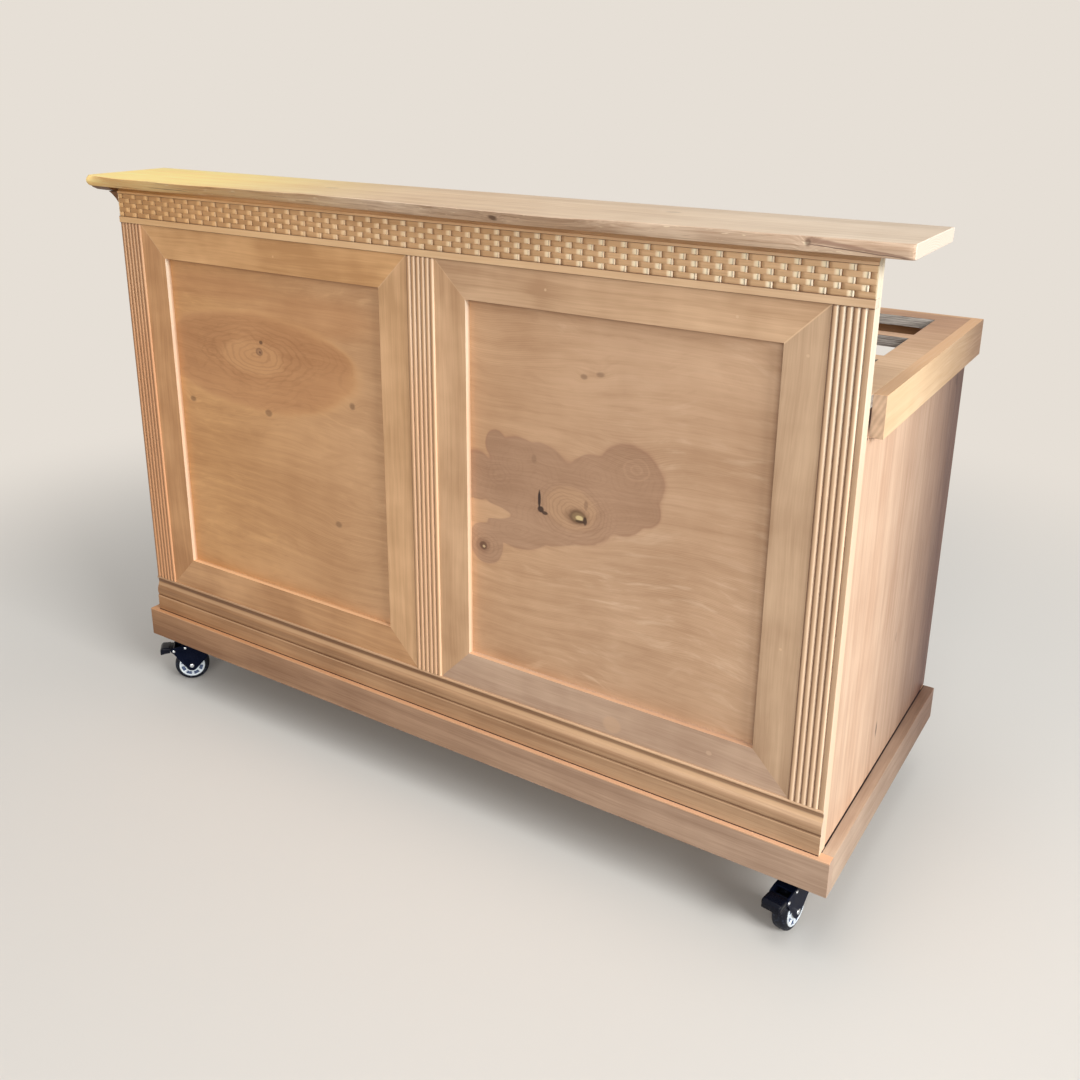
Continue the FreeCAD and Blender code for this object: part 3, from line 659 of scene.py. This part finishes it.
def corbel():
    """The pad under the left overhang and its hollowed gusset."""
    work = bmesh.new()
    low = TOP_LOW - 12.5
    pad = [(21, TOP_LOW), (-24, TOP_LOW), (-21, TOP_LOW - 3.4), (-10, TOP_LOW - 8.6), (10, low), (21, low)]
    loft(work, [[at(x, y, z) for y, z in pad] for x in (-51, -26, 0)])
    gusset = [(0, 0), (-33, 0), (-29, 1.6), (-21, 6.5), (-12, 13.5), (-5, 21.5), (0, 28)]
    loft(work, [[at(x, y, low - drop) for x, drop in gusset] for y in (2, 11, 21)])
    return work


def reeds(left, flat_last=False):
    """A pilaster: six half-round reeds on a flat back, the last one planed off where it meets the wall's end."""
    pitch = PILASTER / REEDS
    profile = [(left, 12.0), (left, 0.6)]
    for index in range(REEDS):
        start = left + pitch * index
        if flat_last and index == REEDS - 1:
            profile += [(start + 0.2, 1.3), (start + 0.9, -1.3), (start + 1.6, -1.7), (start + pitch - 0.9, -1.7),
                        (start + pitch - 0.2, -1.2)]
            continue
        for step in range(1, 18):
            angle = pi * step / 18
            profile.append((start + pitch / 2 * (1 - cos(angle)), -3.4 + 4.8 * (1 - sin(angle) ** 0.92)))
    profile += [(left + PILASTER, 0.6), (left + PILASTER, 12.0)]
    work = bmesh.new()
    loft(work, [[at(x, y, FRAME_LOW + (FRAME_HIGH - FRAME_LOW) * step / 12) for x, y in profile]
                for step in range(13)])
    return work


def weave_offset(row):
    return (0.5 if row % 2 else 0.0) + 0.24


def weave_phase(x, row):
    """Distance from the nearest rod that crosses a row in front of its strand."""
    return abs((x / (2 * PITCH) + weave_offset(row)) % 1.0 - 0.5) * 2 * PITCH


def strand_depth(x, row):
    """How far a strand's crest stands forward (negative) where it passes over and under the rods."""
    away = weave_phase(x, row)
    slope = max(0.0, 1.0 - away / 9.5)
    drop = max(0.0, 1.0 - away / 3.2)
    return -2.35 + 2.3 * slope * slope * (3 - 2 * slope) + 1.3 * drop


def weave_row(row):
    work = bmesh.new()
    low = FRIEZE_LOW + row * ROW_HIGH
    section = [(0.03, 2.4), (0.06, 0.7), (0.6, 0.3), (2.0, 0.06), (4.45, 0.0), (6.9, 0.06), (8.3, 0.3),
               (8.84, 0.7), (8.87, 2.4)]
    stop = WALL - 2.0
    places = [2.0]
    while places[-1] < stop - 1.3:
        away = weave_phase(places[-1], row)
        places.append(places[-1] + (0.9 if away < 4 else 1.6 if away < 11 else 3.2))
    places.append(stop)
    rings = []
    for x in places:
        crest = strand_depth(x, row) + 0.16 * noise.noise(Vector((x * 0.11, row * 5.0, 1.0)))
        shift = 0.14 * noise.noise(Vector((x * 0.06, row * 9.0, 7.0)))
        rings.append([at(x, max(crest + back, -2.4), low + z + shift * sin(pi * z / ROW_HIGH))
                      for z, back in section])
    loft(work, rings)
    return work


def weave_rods():
    work = bmesh.new()
    section = ((0.0, 0.82), (0.9, 1.0), (ROW_HIGH / 2, 1.05), (ROW_HIGH - 0.9, 1.0), (ROW_HIGH, 0.82))
    turns = [radians(turn * 45 + 22.5) for turn in range(8)]
    for row in range(ROWS):
        x = (0.5 - weave_offset(row)) % 1.0 * 2 * PITCH
        while x < WALL - 4:
            if x >= 4:
                middle = x + 0.25 * noise.noise(Vector((x * 0.3, row * 3.0, 2.0)))
                loft(work, [[at(middle + 1.7 * grow * cos(turn), max(0.1 + 2.1 * grow * sin(turn), -2.3),
                                FRIEZE_LOW + row * ROW_HIGH + z) for turn in turns] for z, grow in section])
            x += 2 * PITCH
    return work


def slabs(*ranges):
    """Boards of the frieze's height, each between two x and two y."""
    work = bmesh.new()
    for left, right, front, back in ranges:
        ring = ((front, FRIEZE_LOW), (back, FRIEZE_LOW), (back, FRIEZE_HIGH), (front, FRIEZE_HIGH))
        loft(work, [[at(x, y, z) for y, z in ring] for x in (left, right)])
    return work


def round_axle(radius, turn, y=0.0):
    return Vector((radius * cos(turn), y, radius * sin(turn)))


def spin(profile_at, segments):
    """A shape turned about a caster's axle from the (radius, y) pairs of its profile at each turn."""
    work = bmesh.new()
    rings = []
    for step in range(segments):
        turn = 2 * pi * step / segments
        rings.append([WHEEL + round_axle(radius, turn, y) for radius, y in profile_at(turn)])
    loft(work, rings, around=True)
    return work


def tyre_mesh():
    half = [(28.56, 0.0), (28.56, 12.4), (28.9, 12.9), (30.2, 13.0), (31.2, 12.85), (32.0, 12.75), (33.6, 12.3),
            (35.4, 11.2), (36.8, 9.5), (37.6, 7.2), (37.9, 4.0), (WHEEL_RADIUS, 0.0)]
    profile = half + [(radius, -y) for radius, y in reversed(half[1:-1])]
    return spin(lambda turn: profile, 72)


def hub_profile(turn):
    """A wheel centre with a ring of eight pockets on both faces."""
    share = (turn / (2 * pi) * 8) % 1.0
    window = min(max((min(share, 1 - share) - 0.13) / 0.07, 0.0), 1.0)
    side = []
    for radius in (5.2, 8.6, 9.4, 15.6, 16.8, 17.5, 18.3, 20.6, 22.9, 23.7, 24.4, 25.4, 27.6, 28.3):
        inward = min(max((radius - 17.0) / 1.1, 0.0), 1.0) * min(max((24.7 - radius) / 1.1, 0.0), 1.0)
        dish = 1.1 if 9.2 < radius < 16 else 0.0
        lip = 0.5 if radius > 28 else 0.0
        side.append((radius, 14.15 - 3.6 * window * inward - dish - lip))
    side = [(4.1, 13.6), *side, (28.45, 12.6)]
    return [(4.1, -13.6), *side, *[(radius, -y) for radius, y in reversed(side[1:])]]


def hub_mesh():
    work = spin(hub_profile, 96)
    for face in work.faces:
        middle = sum((vertex.co for vertex in face.verts), Vector()) / 4 - WHEEL
        share = (atan2(middle.z, middle.x) / (2 * pi) * 8) % 1.0
        deep = 17.2 < hypot(middle.x, middle.z) < 24.4 and 0.16 < share < 0.84 and 9 < abs(middle.y) < 13.6
        face.material_index = 1 if deep else 0
    return work


def rivets():
    """Domed heads on both cheeks of a fork: the axle's, the pedal pin's and one of a plain rivet."""
    work = bmesh.new()
    turns = [2 * pi * step / 20 for step in range(20)]
    for side in (-1, 1):
        for place, radius, high in ((WHEEL, 5.2, 2.6), (PIN, 3.3, 1.7), (WHEEL + Vector((-11.5, 0, 46.0)), 2.9, 1.5)):
            loft(work, [[place + round_axle(radius * share, turn, side * (CHEEK + high * lift)) for turn in turns]
                        for share, lift in ((1.0, 0.0), (1.0, 0.25), (0.9, 0.6), (0.62, 0.88), (0.25, 0.99))])
    return work


def pad_outline(share):
    """The hood's outer line across the caster, from rim to rim, at a share of the way to its free end."""
    crown = PIN.z + 9.5 - 5.0 * max(0.0, (share - 0.72) / 0.28) ** 2 - 0.4 * (1 - share)
    low = PIN.z - 3.0 - share ** 1.6 * 3.5
    half = 17.4 - 1.6 * max(0.0, (share - 0.86) / 0.14) ** 2
    line = [(-half, low), (-half - 0.1, low + 0.9), (-half + 0.5, low + 2.2), (-half + 0.2, (low + crown) / 2)]
    for turn in range(7):
        angle = radians(90 * turn / 6)
        line.append((-half + 3.8 * (1 - cos(angle)), crown - 3.8 + 3.8 * sin(angle)))
    return line + [(-y, z) for y, z in reversed(line)], low, half


def pedal_mesh():
    """A hooded foot pad with a rolled lower rim, the arm between the cheeks and the cam over the tyre."""
    work = bmesh.new()
    start, end = PIN.x - 8.4, PIN.x - 30.0
    rings = []
    for step in range(13):
        share = step / 12
        outer, low, half = pad_outline(share)
        inner = [(y * (1 - 2.4 / half), z - 2.4 if z > low + 5 else z) for y, z in reversed(outer)]
        rings.append([Vector((start + (end + 0.4 - start) * share, y, z)) for y, z in outer + inner])
    loft(work, rings)
    outer, _, _ = pad_outline(1.0)
    middle = PIN.z + 0.5
    loft(work, [[Vector((x, y * shrink, middle + (z - middle) * shrink)) for y, z in outer]
                for x, shrink in ((end + 2.6, 1.0), (end + 0.9, 1.0), (end + 0.25, 0.97), (end, 0.9))])
    low, top = PIN.z + 0.2, PIN.z + 9.5
    arm = [(start + 3.0, low), (PIN.x + 0.2, low), (PIN.x + 0.2, top - 3.0), (start + 3.0, top - 2.0),
           (start - 3.0, top - 2.6), (start - 3.0, low + 0.4)]
    loft(work, [[Vector((x, y, z)) for x, z in arm] for y in (-14.6, 14.6)])

    back, down = WHEEL.x - PIN.x, PIN.z - WHEEL.z
    reach = hypot(back, down) - WHEEL_RADIUS - 0.5
    turn = atan2(-down, back) - radians(20)
    ahead = round_axle(1.0, turn)
    aside = Vector((-ahead.z, 0, ahead.x))
    tip = PIN + ahead * (reach - 0.1)
    corners = [PIN + aside * 6.8, PIN + aside * 5.0 + ahead * 5, tip + aside * 2.4, tip - aside * 2.4,
               PIN - aside * 5.0 + ahead * 5, PIN - aside * 6.8, PIN - aside * 3.4 - ahead * 6.8,
               PIN + aside * 3.4 - ahead * 6.8]
    loft(work, [[corner + Vector((0, y, 0)) for corner in corners] for y in (-14.5, 14.5)])
    return work


def casters(materials):
    for name, (x, y, heading) in CASTERS.items():
        matrix = (Matrix.Translation(at(x, y, CASTER_HIGH)) @ Matrix.Rotation(radians(90 + heading), 4, "Z")
                  @ Matrix.Scale(MM, 4))
        node = "caster_" + name
        make(node + "_tread", tyre_mesh(), "wheel_" + name, [materials["tyre"]], [node + "_tyre"],
             matrix)
        make(node + "_centre", hub_mesh(), "wheel_" + name, [materials["hub"], materials["recess"]],
             [node + "_hub"], matrix, angle=25)
        make(node + "_foot_pad", pedal_mesh(), "pedal_" + name, [materials["pedal"]], [node + "_pedal"],
             matrix, bevel=0.5, angle=40)
        make(node + "_rivets", rivets(), "swivel_" + name, [materials["steel"]], (), matrix)


# ---- Dressing the CAD nodes

def dress(node, surface):
    """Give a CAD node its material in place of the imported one."""
    data = nodes[node].data
    data.materials.clear()
    data.materials.append(surface)


def dress_board(node, along, face, *tones, **options):
    dress(node, board("wood_" + node, along, face, tones, **options))


# Painted highlight on faces that look along +X, towards the light
LIT_FACE = (252, 243, 222)
# The first two are painted shade: the dark of a deep gap and of a shallow joint between parts; the third is the colour
# of filled nail holes
GAP_SHADE, SEAM_SHADE, HOLE = (36, 16, 18), (96, 62, 42), (222, 194, 162)

FRAME_TONES = {
    "left_frame_top_rail": ((228, 182, 132), (190, 144, 98)),
    "left_frame_bottom_rail": ((210, 165, 122), (174, 130, 92)),
    "left_frame_left_stile": ((214, 166, 120), (178, 131, 90)),
    "left_frame_right_stile": ((230, 188, 146), (194, 154, 114)),
    "right_frame_left_stile": ((220, 182, 145), (184, 146, 111)),
    "right_frame_top_rail": ((220, 186, 152), (182, 146, 114)),
    "right_frame_bottom_rail": ((204, 176, 153), (168, 138, 117)),
    "right_frame_right_stile": ((208, 178, 148), (172, 140, 112)),
}
# Filled nail holes and one square putty patch: place, half sizes, share, colour
FRAME_DOTS = {
    "right_frame_bottom_rail": ((1152, 290, 17, 15, 0.5, (206, 172, 142)), (1330, 300, 5, 4, 0.5, (214, 184, 158))),
    "right_frame_top_rail": ((1331, 1018, 2.4, 2.4, 0.6, HOLE), (1010, 1022, 2.2, 2.2, 0.6, (226, 196, 162))),
    "right_frame_right_stile": ((1438, 976, 2.4, 2.4, 0.6, HOLE), (1434, 520, 2.2, 2.2, 0.6, (224, 194, 160))),
    "left_frame_top_rail": ((420, 1020, 2.2, 2.2, 0.6, (224, 184, 142)),),
}
# Left end, tones, and the colours of painted highlight on the reeds' right flanks and painted shade on their left
# flanks
PILASTERS = {
    "pilaster_left": (0.0, ((176, 131, 94), (148, 105, 72)), (230, 186, 146), (106, 70, 46)),
    "pilaster_centre": (CENTRE, ((206, 168, 132), (176, 138, 104)), (255, 226, 194), (132, 94, 68)),
    "pilaster_right": (LAST, ((218, 186, 154), (190, 156, 124)), (255, 244, 222), (134, 98, 76)),
}
# Tones at the left and at the right, and thin lines of painted shade where one moulding meets the next; on the base
# moulding and the plinth front the lines are the painted highlights and shade of the profile's beads, hollows and
# grooves
LONG_TRIM = {
    "fillet_band": (((236, 196, 146), (214, 170, 122)), ((230, 200, 166), (202, 168, 134)),
                    (("z", FRAME_HIGH, 1.1, 0.75, SEAM_SHADE), ("z", FRIEZE_LOW, 1.1, 0.75, SEAM_SHADE))),
    "cove_moulding": (((232, 188, 136), (200, 152, 102)), ((232, 200, 164), (198, 164, 130)),
                      (("z", FRIEZE_HIGH, 1.2, 0.8, (90, 58, 38)),)),
    "base_moulding": (((182, 138, 97), (148, 106, 71)), ((200, 168, 136), (164, 131, 102)),
                      (("z", 251.0, 4.5, 0.40, (230, 192, 152)), ("z", 259.6, 4.6, 0.62, (104, 72, 50)),
                       ("z", 267.0, 2.6, 0.45, (218, 184, 150)), ("z", 238.0, 5.5, 0.30, (120, 86, 60)),
                       ("z", 225.6, 1.7, 0.55, (104, 74, 54)), ("z", 222.4, 1.4, 0.5, (226, 190, 154)),
                       ("z", 188.5, 2.8, 1.2, (56, 32, 24)))),
    "plinth_front": (((172, 131, 96), (134, 96, 67)), ((198, 171, 150), (154, 127, 108)),
                     (("z", 187.3, 1.1, 0.6, (232, 182, 138)),)),
}
INNER = {"floor_board": "xz", "plinth_joists": "yx", "caster_blocks": "xy", "top_brackets": "zx",
         "centre_divider": "zx", "shelf_left_lower": "xz", "shelf_left_upper": "xz",
         "shelf_right_lower": "xz", "shelf_right_upper": "xz", "shelf_cleats": "yx"}


def dress_front():
    dress("front_sheet", veneer())
    spans = {"left": (PILASTER, CENTRE), "right": (CENTRE + PILASTER, LAST)}
    for index, (name, tones) in enumerate(FRAME_TONES.items()):
        side, part = name.split("_frame_")
        first, last = spans[side]
        part = part.split("_")[0]
        corners = {"top_left": (first, FRAME_HIGH, -1, 0.2),
                   "top_right": (last, FRAME_HIGH, 1, 0.55 if side == "right" else 0.25)}
        # The frames' inner edges that look along +X take a painted highlight, fading with depth, and the bottom rails'
        # upper faces painted light
        dress_board(name, "z" if "stile" in name else "x", "y", tones, seed=2.3 + 1.9 * index, wave=0.5,
                    middle=1.05, cloud=1.6, fine=0.9, pale=(255, 238, 216), fade=(5.5, 9.5),
                    dots=FRAME_DOTS.get(name, ()), up=((250, 206, 160), (222, 178, 144)) if part == "bottom" else None,
                    mitres=[corner for key, corner in corners.items() if part in key])
    # The reeds get painted highlight and shade on their flanks, painted shade in the valleys, and a line of painted
    # shade at their top joint
    for index, (name, (start, tones, lit_flank, shaded_flank)) in enumerate(PILASTERS.items()):
        dress_board(name, "z", "y", tones, seed=21.0 + index, wave=0.25, broad=0.5, cloud=0.5, pale=lit_flank,
                    shade=shaded_flank, lean=(0.22, 0.72), valley=(-0.5, 0.8, 0.92, (104, 68, 50)),
                    lines=(("z", FRAME_HIGH, 2.0, 0.8, SEAM_SHADE),))
        make(name + "_reeds", reeds(start, name == "pilaster_right"), "cabinet", [nodes[name].data.materials[0]],
             [name])
    # The plinth front takes painted light on faces that look up and a painted highlight on its end; the other trims a
    # painted highlight on their ends that look along +X
    for index, (name, (left, right, lines)) in enumerate(LONG_TRIM.items()):
        plinth = name == "plinth_front"
        dress_board(name, "x", "y", left, right, seed=31.0 + index, middle=1.2, cloud=0.9, lines=lines,
                    up=((204, 150, 106), (236, 186, 148)) if plinth else None, pale=(206, 190, 174) if plinth else LIT_FACE)


def dress_cabinet():
    dress_board("plinth_back", "x", "y", ((186, 144, 108), (146, 106, 76)), seed=36)
    dress_board("plinth_left", "y", "x", ((182, 140, 102), (142, 102, 70)), seed=37)
    # Darker towards the rear as a painted falloff of the light, with a line of painted shade at the joint under the
    # side panel
    dress_board("plinth_right", "y", "x", ((214, 190, 168), (182, 154, 132)), ((128, 96, 77), (94, 68, 54)),
                seed=38, drift="y", start=20, stop=560, middle=1.2, lines=(("x", WALL, 1.7, 1.4, GAP_SHADE),))
    # Darker towards the rear as a painted falloff of the light; the first dot is the painted shadow of the apron's
    # front end and the bottom line painted shade in the joint with the plinth
    dress_board("side_panel_right", "z", "x", ((240, 208, 180), (214, 176, 148)), ((106, 74, 62), (80, 55, 48)),
                seed=41, drift="y", start=150, stop=570, wave=0.35, middle=1.5, broad=1.3,
                dots=((24, 896, 9, 34, 0.92, (52, 30, 28)), (557, 829, 7, 12, 0.95, (66, 40, 34)),
                      (265, 272, 2.6, 9, 0.75, (104, 70, 58))),
                lines=(("z", 188.5, 4.4, 1.5, (30, 12, 18)),),
                knots=((557, 829, 4, 13, 0.006, 0.75), (265, 272, 4, 15, 0.006, 0.6), (330, 420, 3, 10, 0.004, 0.4)))
    dress_board("side_panel_left", "z", "x", ((208, 168, 132), (168, 128, 94)), seed=42, wave=0.35, middle=1.4,
                broad=1.2, knots=((300, 620, 5, 16, 0.01, 0.6),))
    # Darker towards the rear as a painted falloff of the light, and painted light on its faces that look up
    dress_board("apron_right", "y", "x", ((252, 224, 184), (236, 200, 156)), ((160, 128, 102), (128, 98, 74)),
                seed=43, drift="y", start=150, stop=600, middle=1.1, broad=1.1,
                up=((216, 172, 130), (216, 172, 130)), ends=((222, 192, 164), (168, 140, 118), -0.5))
    dress_board("apron_left", "y", "x", ((214, 174, 134), (176, 134, 98)), seed=44)
    dress_board("apron_rear", "x", "y", ((214, 174, 134), (176, 134, 98)), seed=45, middle=1.2)
    dress("counter_board", counter_top())
    # The floor board's line at the wall's end is painted shade in the joint there
    for index, (name, (along, face)) in enumerate(INNER.items()):
        blocks = name == "caster_blocks"
        tones = ((150, 112, 76), (112, 80, 54)) if blocks else ((214, 180, 140), (178, 142, 104))
        dress_board(name, along, face, tones, seed=51.0 + 1.3 * index, wave=0.6, middle=1.1,
                    lines=(("x", WALL, 6.0, 1.4, GAP_SHADE),) if name == "floor_board" else ())


def round_edges(metal_paint):
    """Soften the edges of the CAD nodes that stay in sight, and paint the casters' metal."""
    for name, node in nodes.items():
        if name == "caster_plates" or name.endswith("_fork"):
            dress(name, metal_paint)
            soften(node, 0.8, 3, weld=True)
        elif name == "caster_blocks" or not name.startswith(("caster_", "front_sheet", "pilaster")):
            soften(node, 0.45 if "frame" in name or "fillet" in name else 0.8, weld=True)


def bar_top():
    thing = make("plank_top", plank(), "cabinet", [top_face(), live_bark(), plank_end()], ["bar_top"])
    for face in thing.data.polygons:
        if abs(face.center.x) > (WALL / 2 + OVERHANG - 1.0) * MM:
            face.material_index = 2
        elif face.normal.y < -0.25 and face.center.y < FRONT - 0.006:
            face.material_index = 1
    # The corbel's tones are darker than the other boards: painted shade for its place under the overhang
    corbel_wood = board("wood_corbel", "x", "y", (((150, 106, 66), (108, 72, 44)),), 61)
    make("corbel_block", corbel(), "cabinet", [corbel_wood], ["corbel_left"], bevel=0.6)


def frieze():
    """The woven band: strands that pass over and under upright rods, a ground painted dark as the shade between them,
    and two end slips.
    """
    # Strands: painted highlight on slopes that lean along +X, painted shade on those that lean along -X and where they
    # dip behind the rods
    strands = board("wood_strands", "x", "y", (((214, 168, 118), (188, 142, 95)), ((228, 193, 154), (192, 158, 121))),
                    63, wave=0.2, fine=1.2, cloud=0.7, ramp=((240, 196, 140), (255, 244, 214)), shade=(146, 106, 74),
                    valley=(-0.9, 0.2, 0.9, (84, 56, 40)))
    # Rods: painted shade on their flanks that look along -X
    rods = board("wood_rods", "z", "y", (((236, 194, 140), (220, 176, 122)), ((255, 246, 226), (244, 226, 198))),
                 64, wave=0.2, shade=(96, 66, 48))
    # The ground is painted dark to stand for the shade in the gaps between strands
    ground = board("wood_ground", "x", "y", (((112, 80, 56), (88, 60, 42)),), 65, wave=0.2)
    # End slips: painted highlight on their faces that look along +X
    slips = board("wood_frieze_ends", "z", "y", (((250, 236, 206), (236, 212, 176)),), 66, wave=1.0, pale=LIT_FACE)
    for row in range(ROWS):
        make("frieze_strands_%d" % (row + 1), weave_row(row), "cabinet", [strands], ["frieze"] if row == 0 else ())
    make("frieze_rods", weave_rods(), "cabinet", [rods], ())
    make("frieze_ground", slabs((0.4, WALL - 0.4, 4.2, 12)), "cabinet", [ground], ())
    make("frieze_ends", slabs((0, 1.8, -1.8, 12), (WALL - 1.8, WALL, -1.8, 12)), "cabinet", [slips], (),
         bevel=0.3)


# ---- Camera, light and floor

def place_camera():
    azimuth, elevation, roll = (radians(turn) for turn in CAMERA_TURN)
    back = Vector((sin(azimuth) * cos(elevation),
                   -cos(azimuth) * cos(elevation), sin(elevation)))
    right = Vector((cos(azimuth), sin(azimuth), 0))
    up = back.cross(right)
    across = cos(roll) * right + sin(roll) * up
    above = -sin(roll) * right + cos(roll) * up
    data = bpy.data.cameras.new("camera")
    data.sensor_width = 36
    data.clip_end = 200
    data.lens = CAMERA_LENS
    data.shift_x, data.shift_y = CAMERA_SHIFT
    camera = place_thing("camera", data)
    place = Vector(CAMERA_PLACE) + Vector((0, FRONT, 0))
    camera.matrix_world = Matrix.Translation(place) @ Matrix((across, above, back)).transposed().to_4x4()
    bpy.context.scene.camera = camera


def area_light(name, azimuth, elevation, level, size, tint, distance=9.0):
    """A soft lamp; level 1 alone renders a facing surface at its written colour."""
    data = bpy.data.lights.new(name, "AREA")
    data.shape = "RECTANGLE"
    data.size, data.size_y = size
    data.color = tint
    data.energy = level * pi ** 2 * distance ** 2
    lamp = place_thing(name, data)
    a, e = radians(azimuth), radians(elevation)
    way = Vector((sin(a) * cos(e), -cos(a) * cos(e), sin(e)))
    lamp.location = Vector((0, 0, 0.6)) + way * distance
    lamp.rotation_euler = (-way).to_track_quat("-Z", "Y").to_euler()


def studio():
    """Plain soft light, and a background that the camera and mirrored rays see in its own colour."""
    scene = bpy.context.scene
    scene.view_settings.view_transform = "Standard"
    scene.world = bpy.data.worlds.new("studio")
    tree = Tree(scene.world)
    light = tree.add("Background", ((1.0, 0.97, 0.94, 1.0), WORLD_LEVEL))
    backdrop = tree.add("Background", (BACKGROUND, 1.0))
    tree.set(tree.nodes.new("ShaderNodeOutputWorld"), [tree.add("MixShader", (tree.seen(), light, backdrop))])
    for lamp in LAMPS:
        area_light(*lamp)


def floor_sheet():
    """A wide pale floor that keeps the shadow near the bar and runs out into the background's colour."""
    work = bmesh.new()
    reach = 60.0
    work.faces.new([work.verts.new((x * reach, y * reach, 0)) for x, y in ((-1, -1), (1, -1), (1, 1), (-1, 1))])
    floor = place_thing("floor", work)
    paint = Paint("floor_paint")
    seen = paint.seen()
    near = paint.mix(paint.noise(paint.place, 0.7), FLOOR_TONE, tuple(part + 3 for part in FLOOR_TONE))
    paint.set(paint.shader, {"Base Color": paint.mix(seen, (150, 142, 132), near), "Roughness": 0.9,
                             "Specular IOR Level": 0.0})
    far = paint.ease(paint.vector("LENGTH", paint.place), 1.15, 2.6) * seen
    glow = paint.add("Emission", {"Color": BACKGROUND})
    paint.set(paint.output, [paint.add("MixShader", (far, Value(paint, paint.shader.outputs[0]), glow))])
    floor.data.materials.append(paint.material)


place_camera()
dress_front()
dress_cabinet()
round_edges(metal("fork_paint", (8, 15, 34), 0.3, 0.44, sheen=0.05))
bar_top()
frieze()
casters({
    "tyre": rubber(),
    "hub": metal("hub_plastic", (222, 234, 248), 0.24, 0.36, gain=1.15),
    "recess": metal("hub_recess", (74, 90, 122), 0.4, 0.6, gain=1.3),
    "pedal": metal("pedal_paint", (8, 12, 24), 0.16, 0.28, sheen=0.14),
    "steel": metal("rivet_steel", (226, 232, 238), 0.16, 0.3, metallic=1.0, gain=1.1),
})
studio()
floor_sheet()
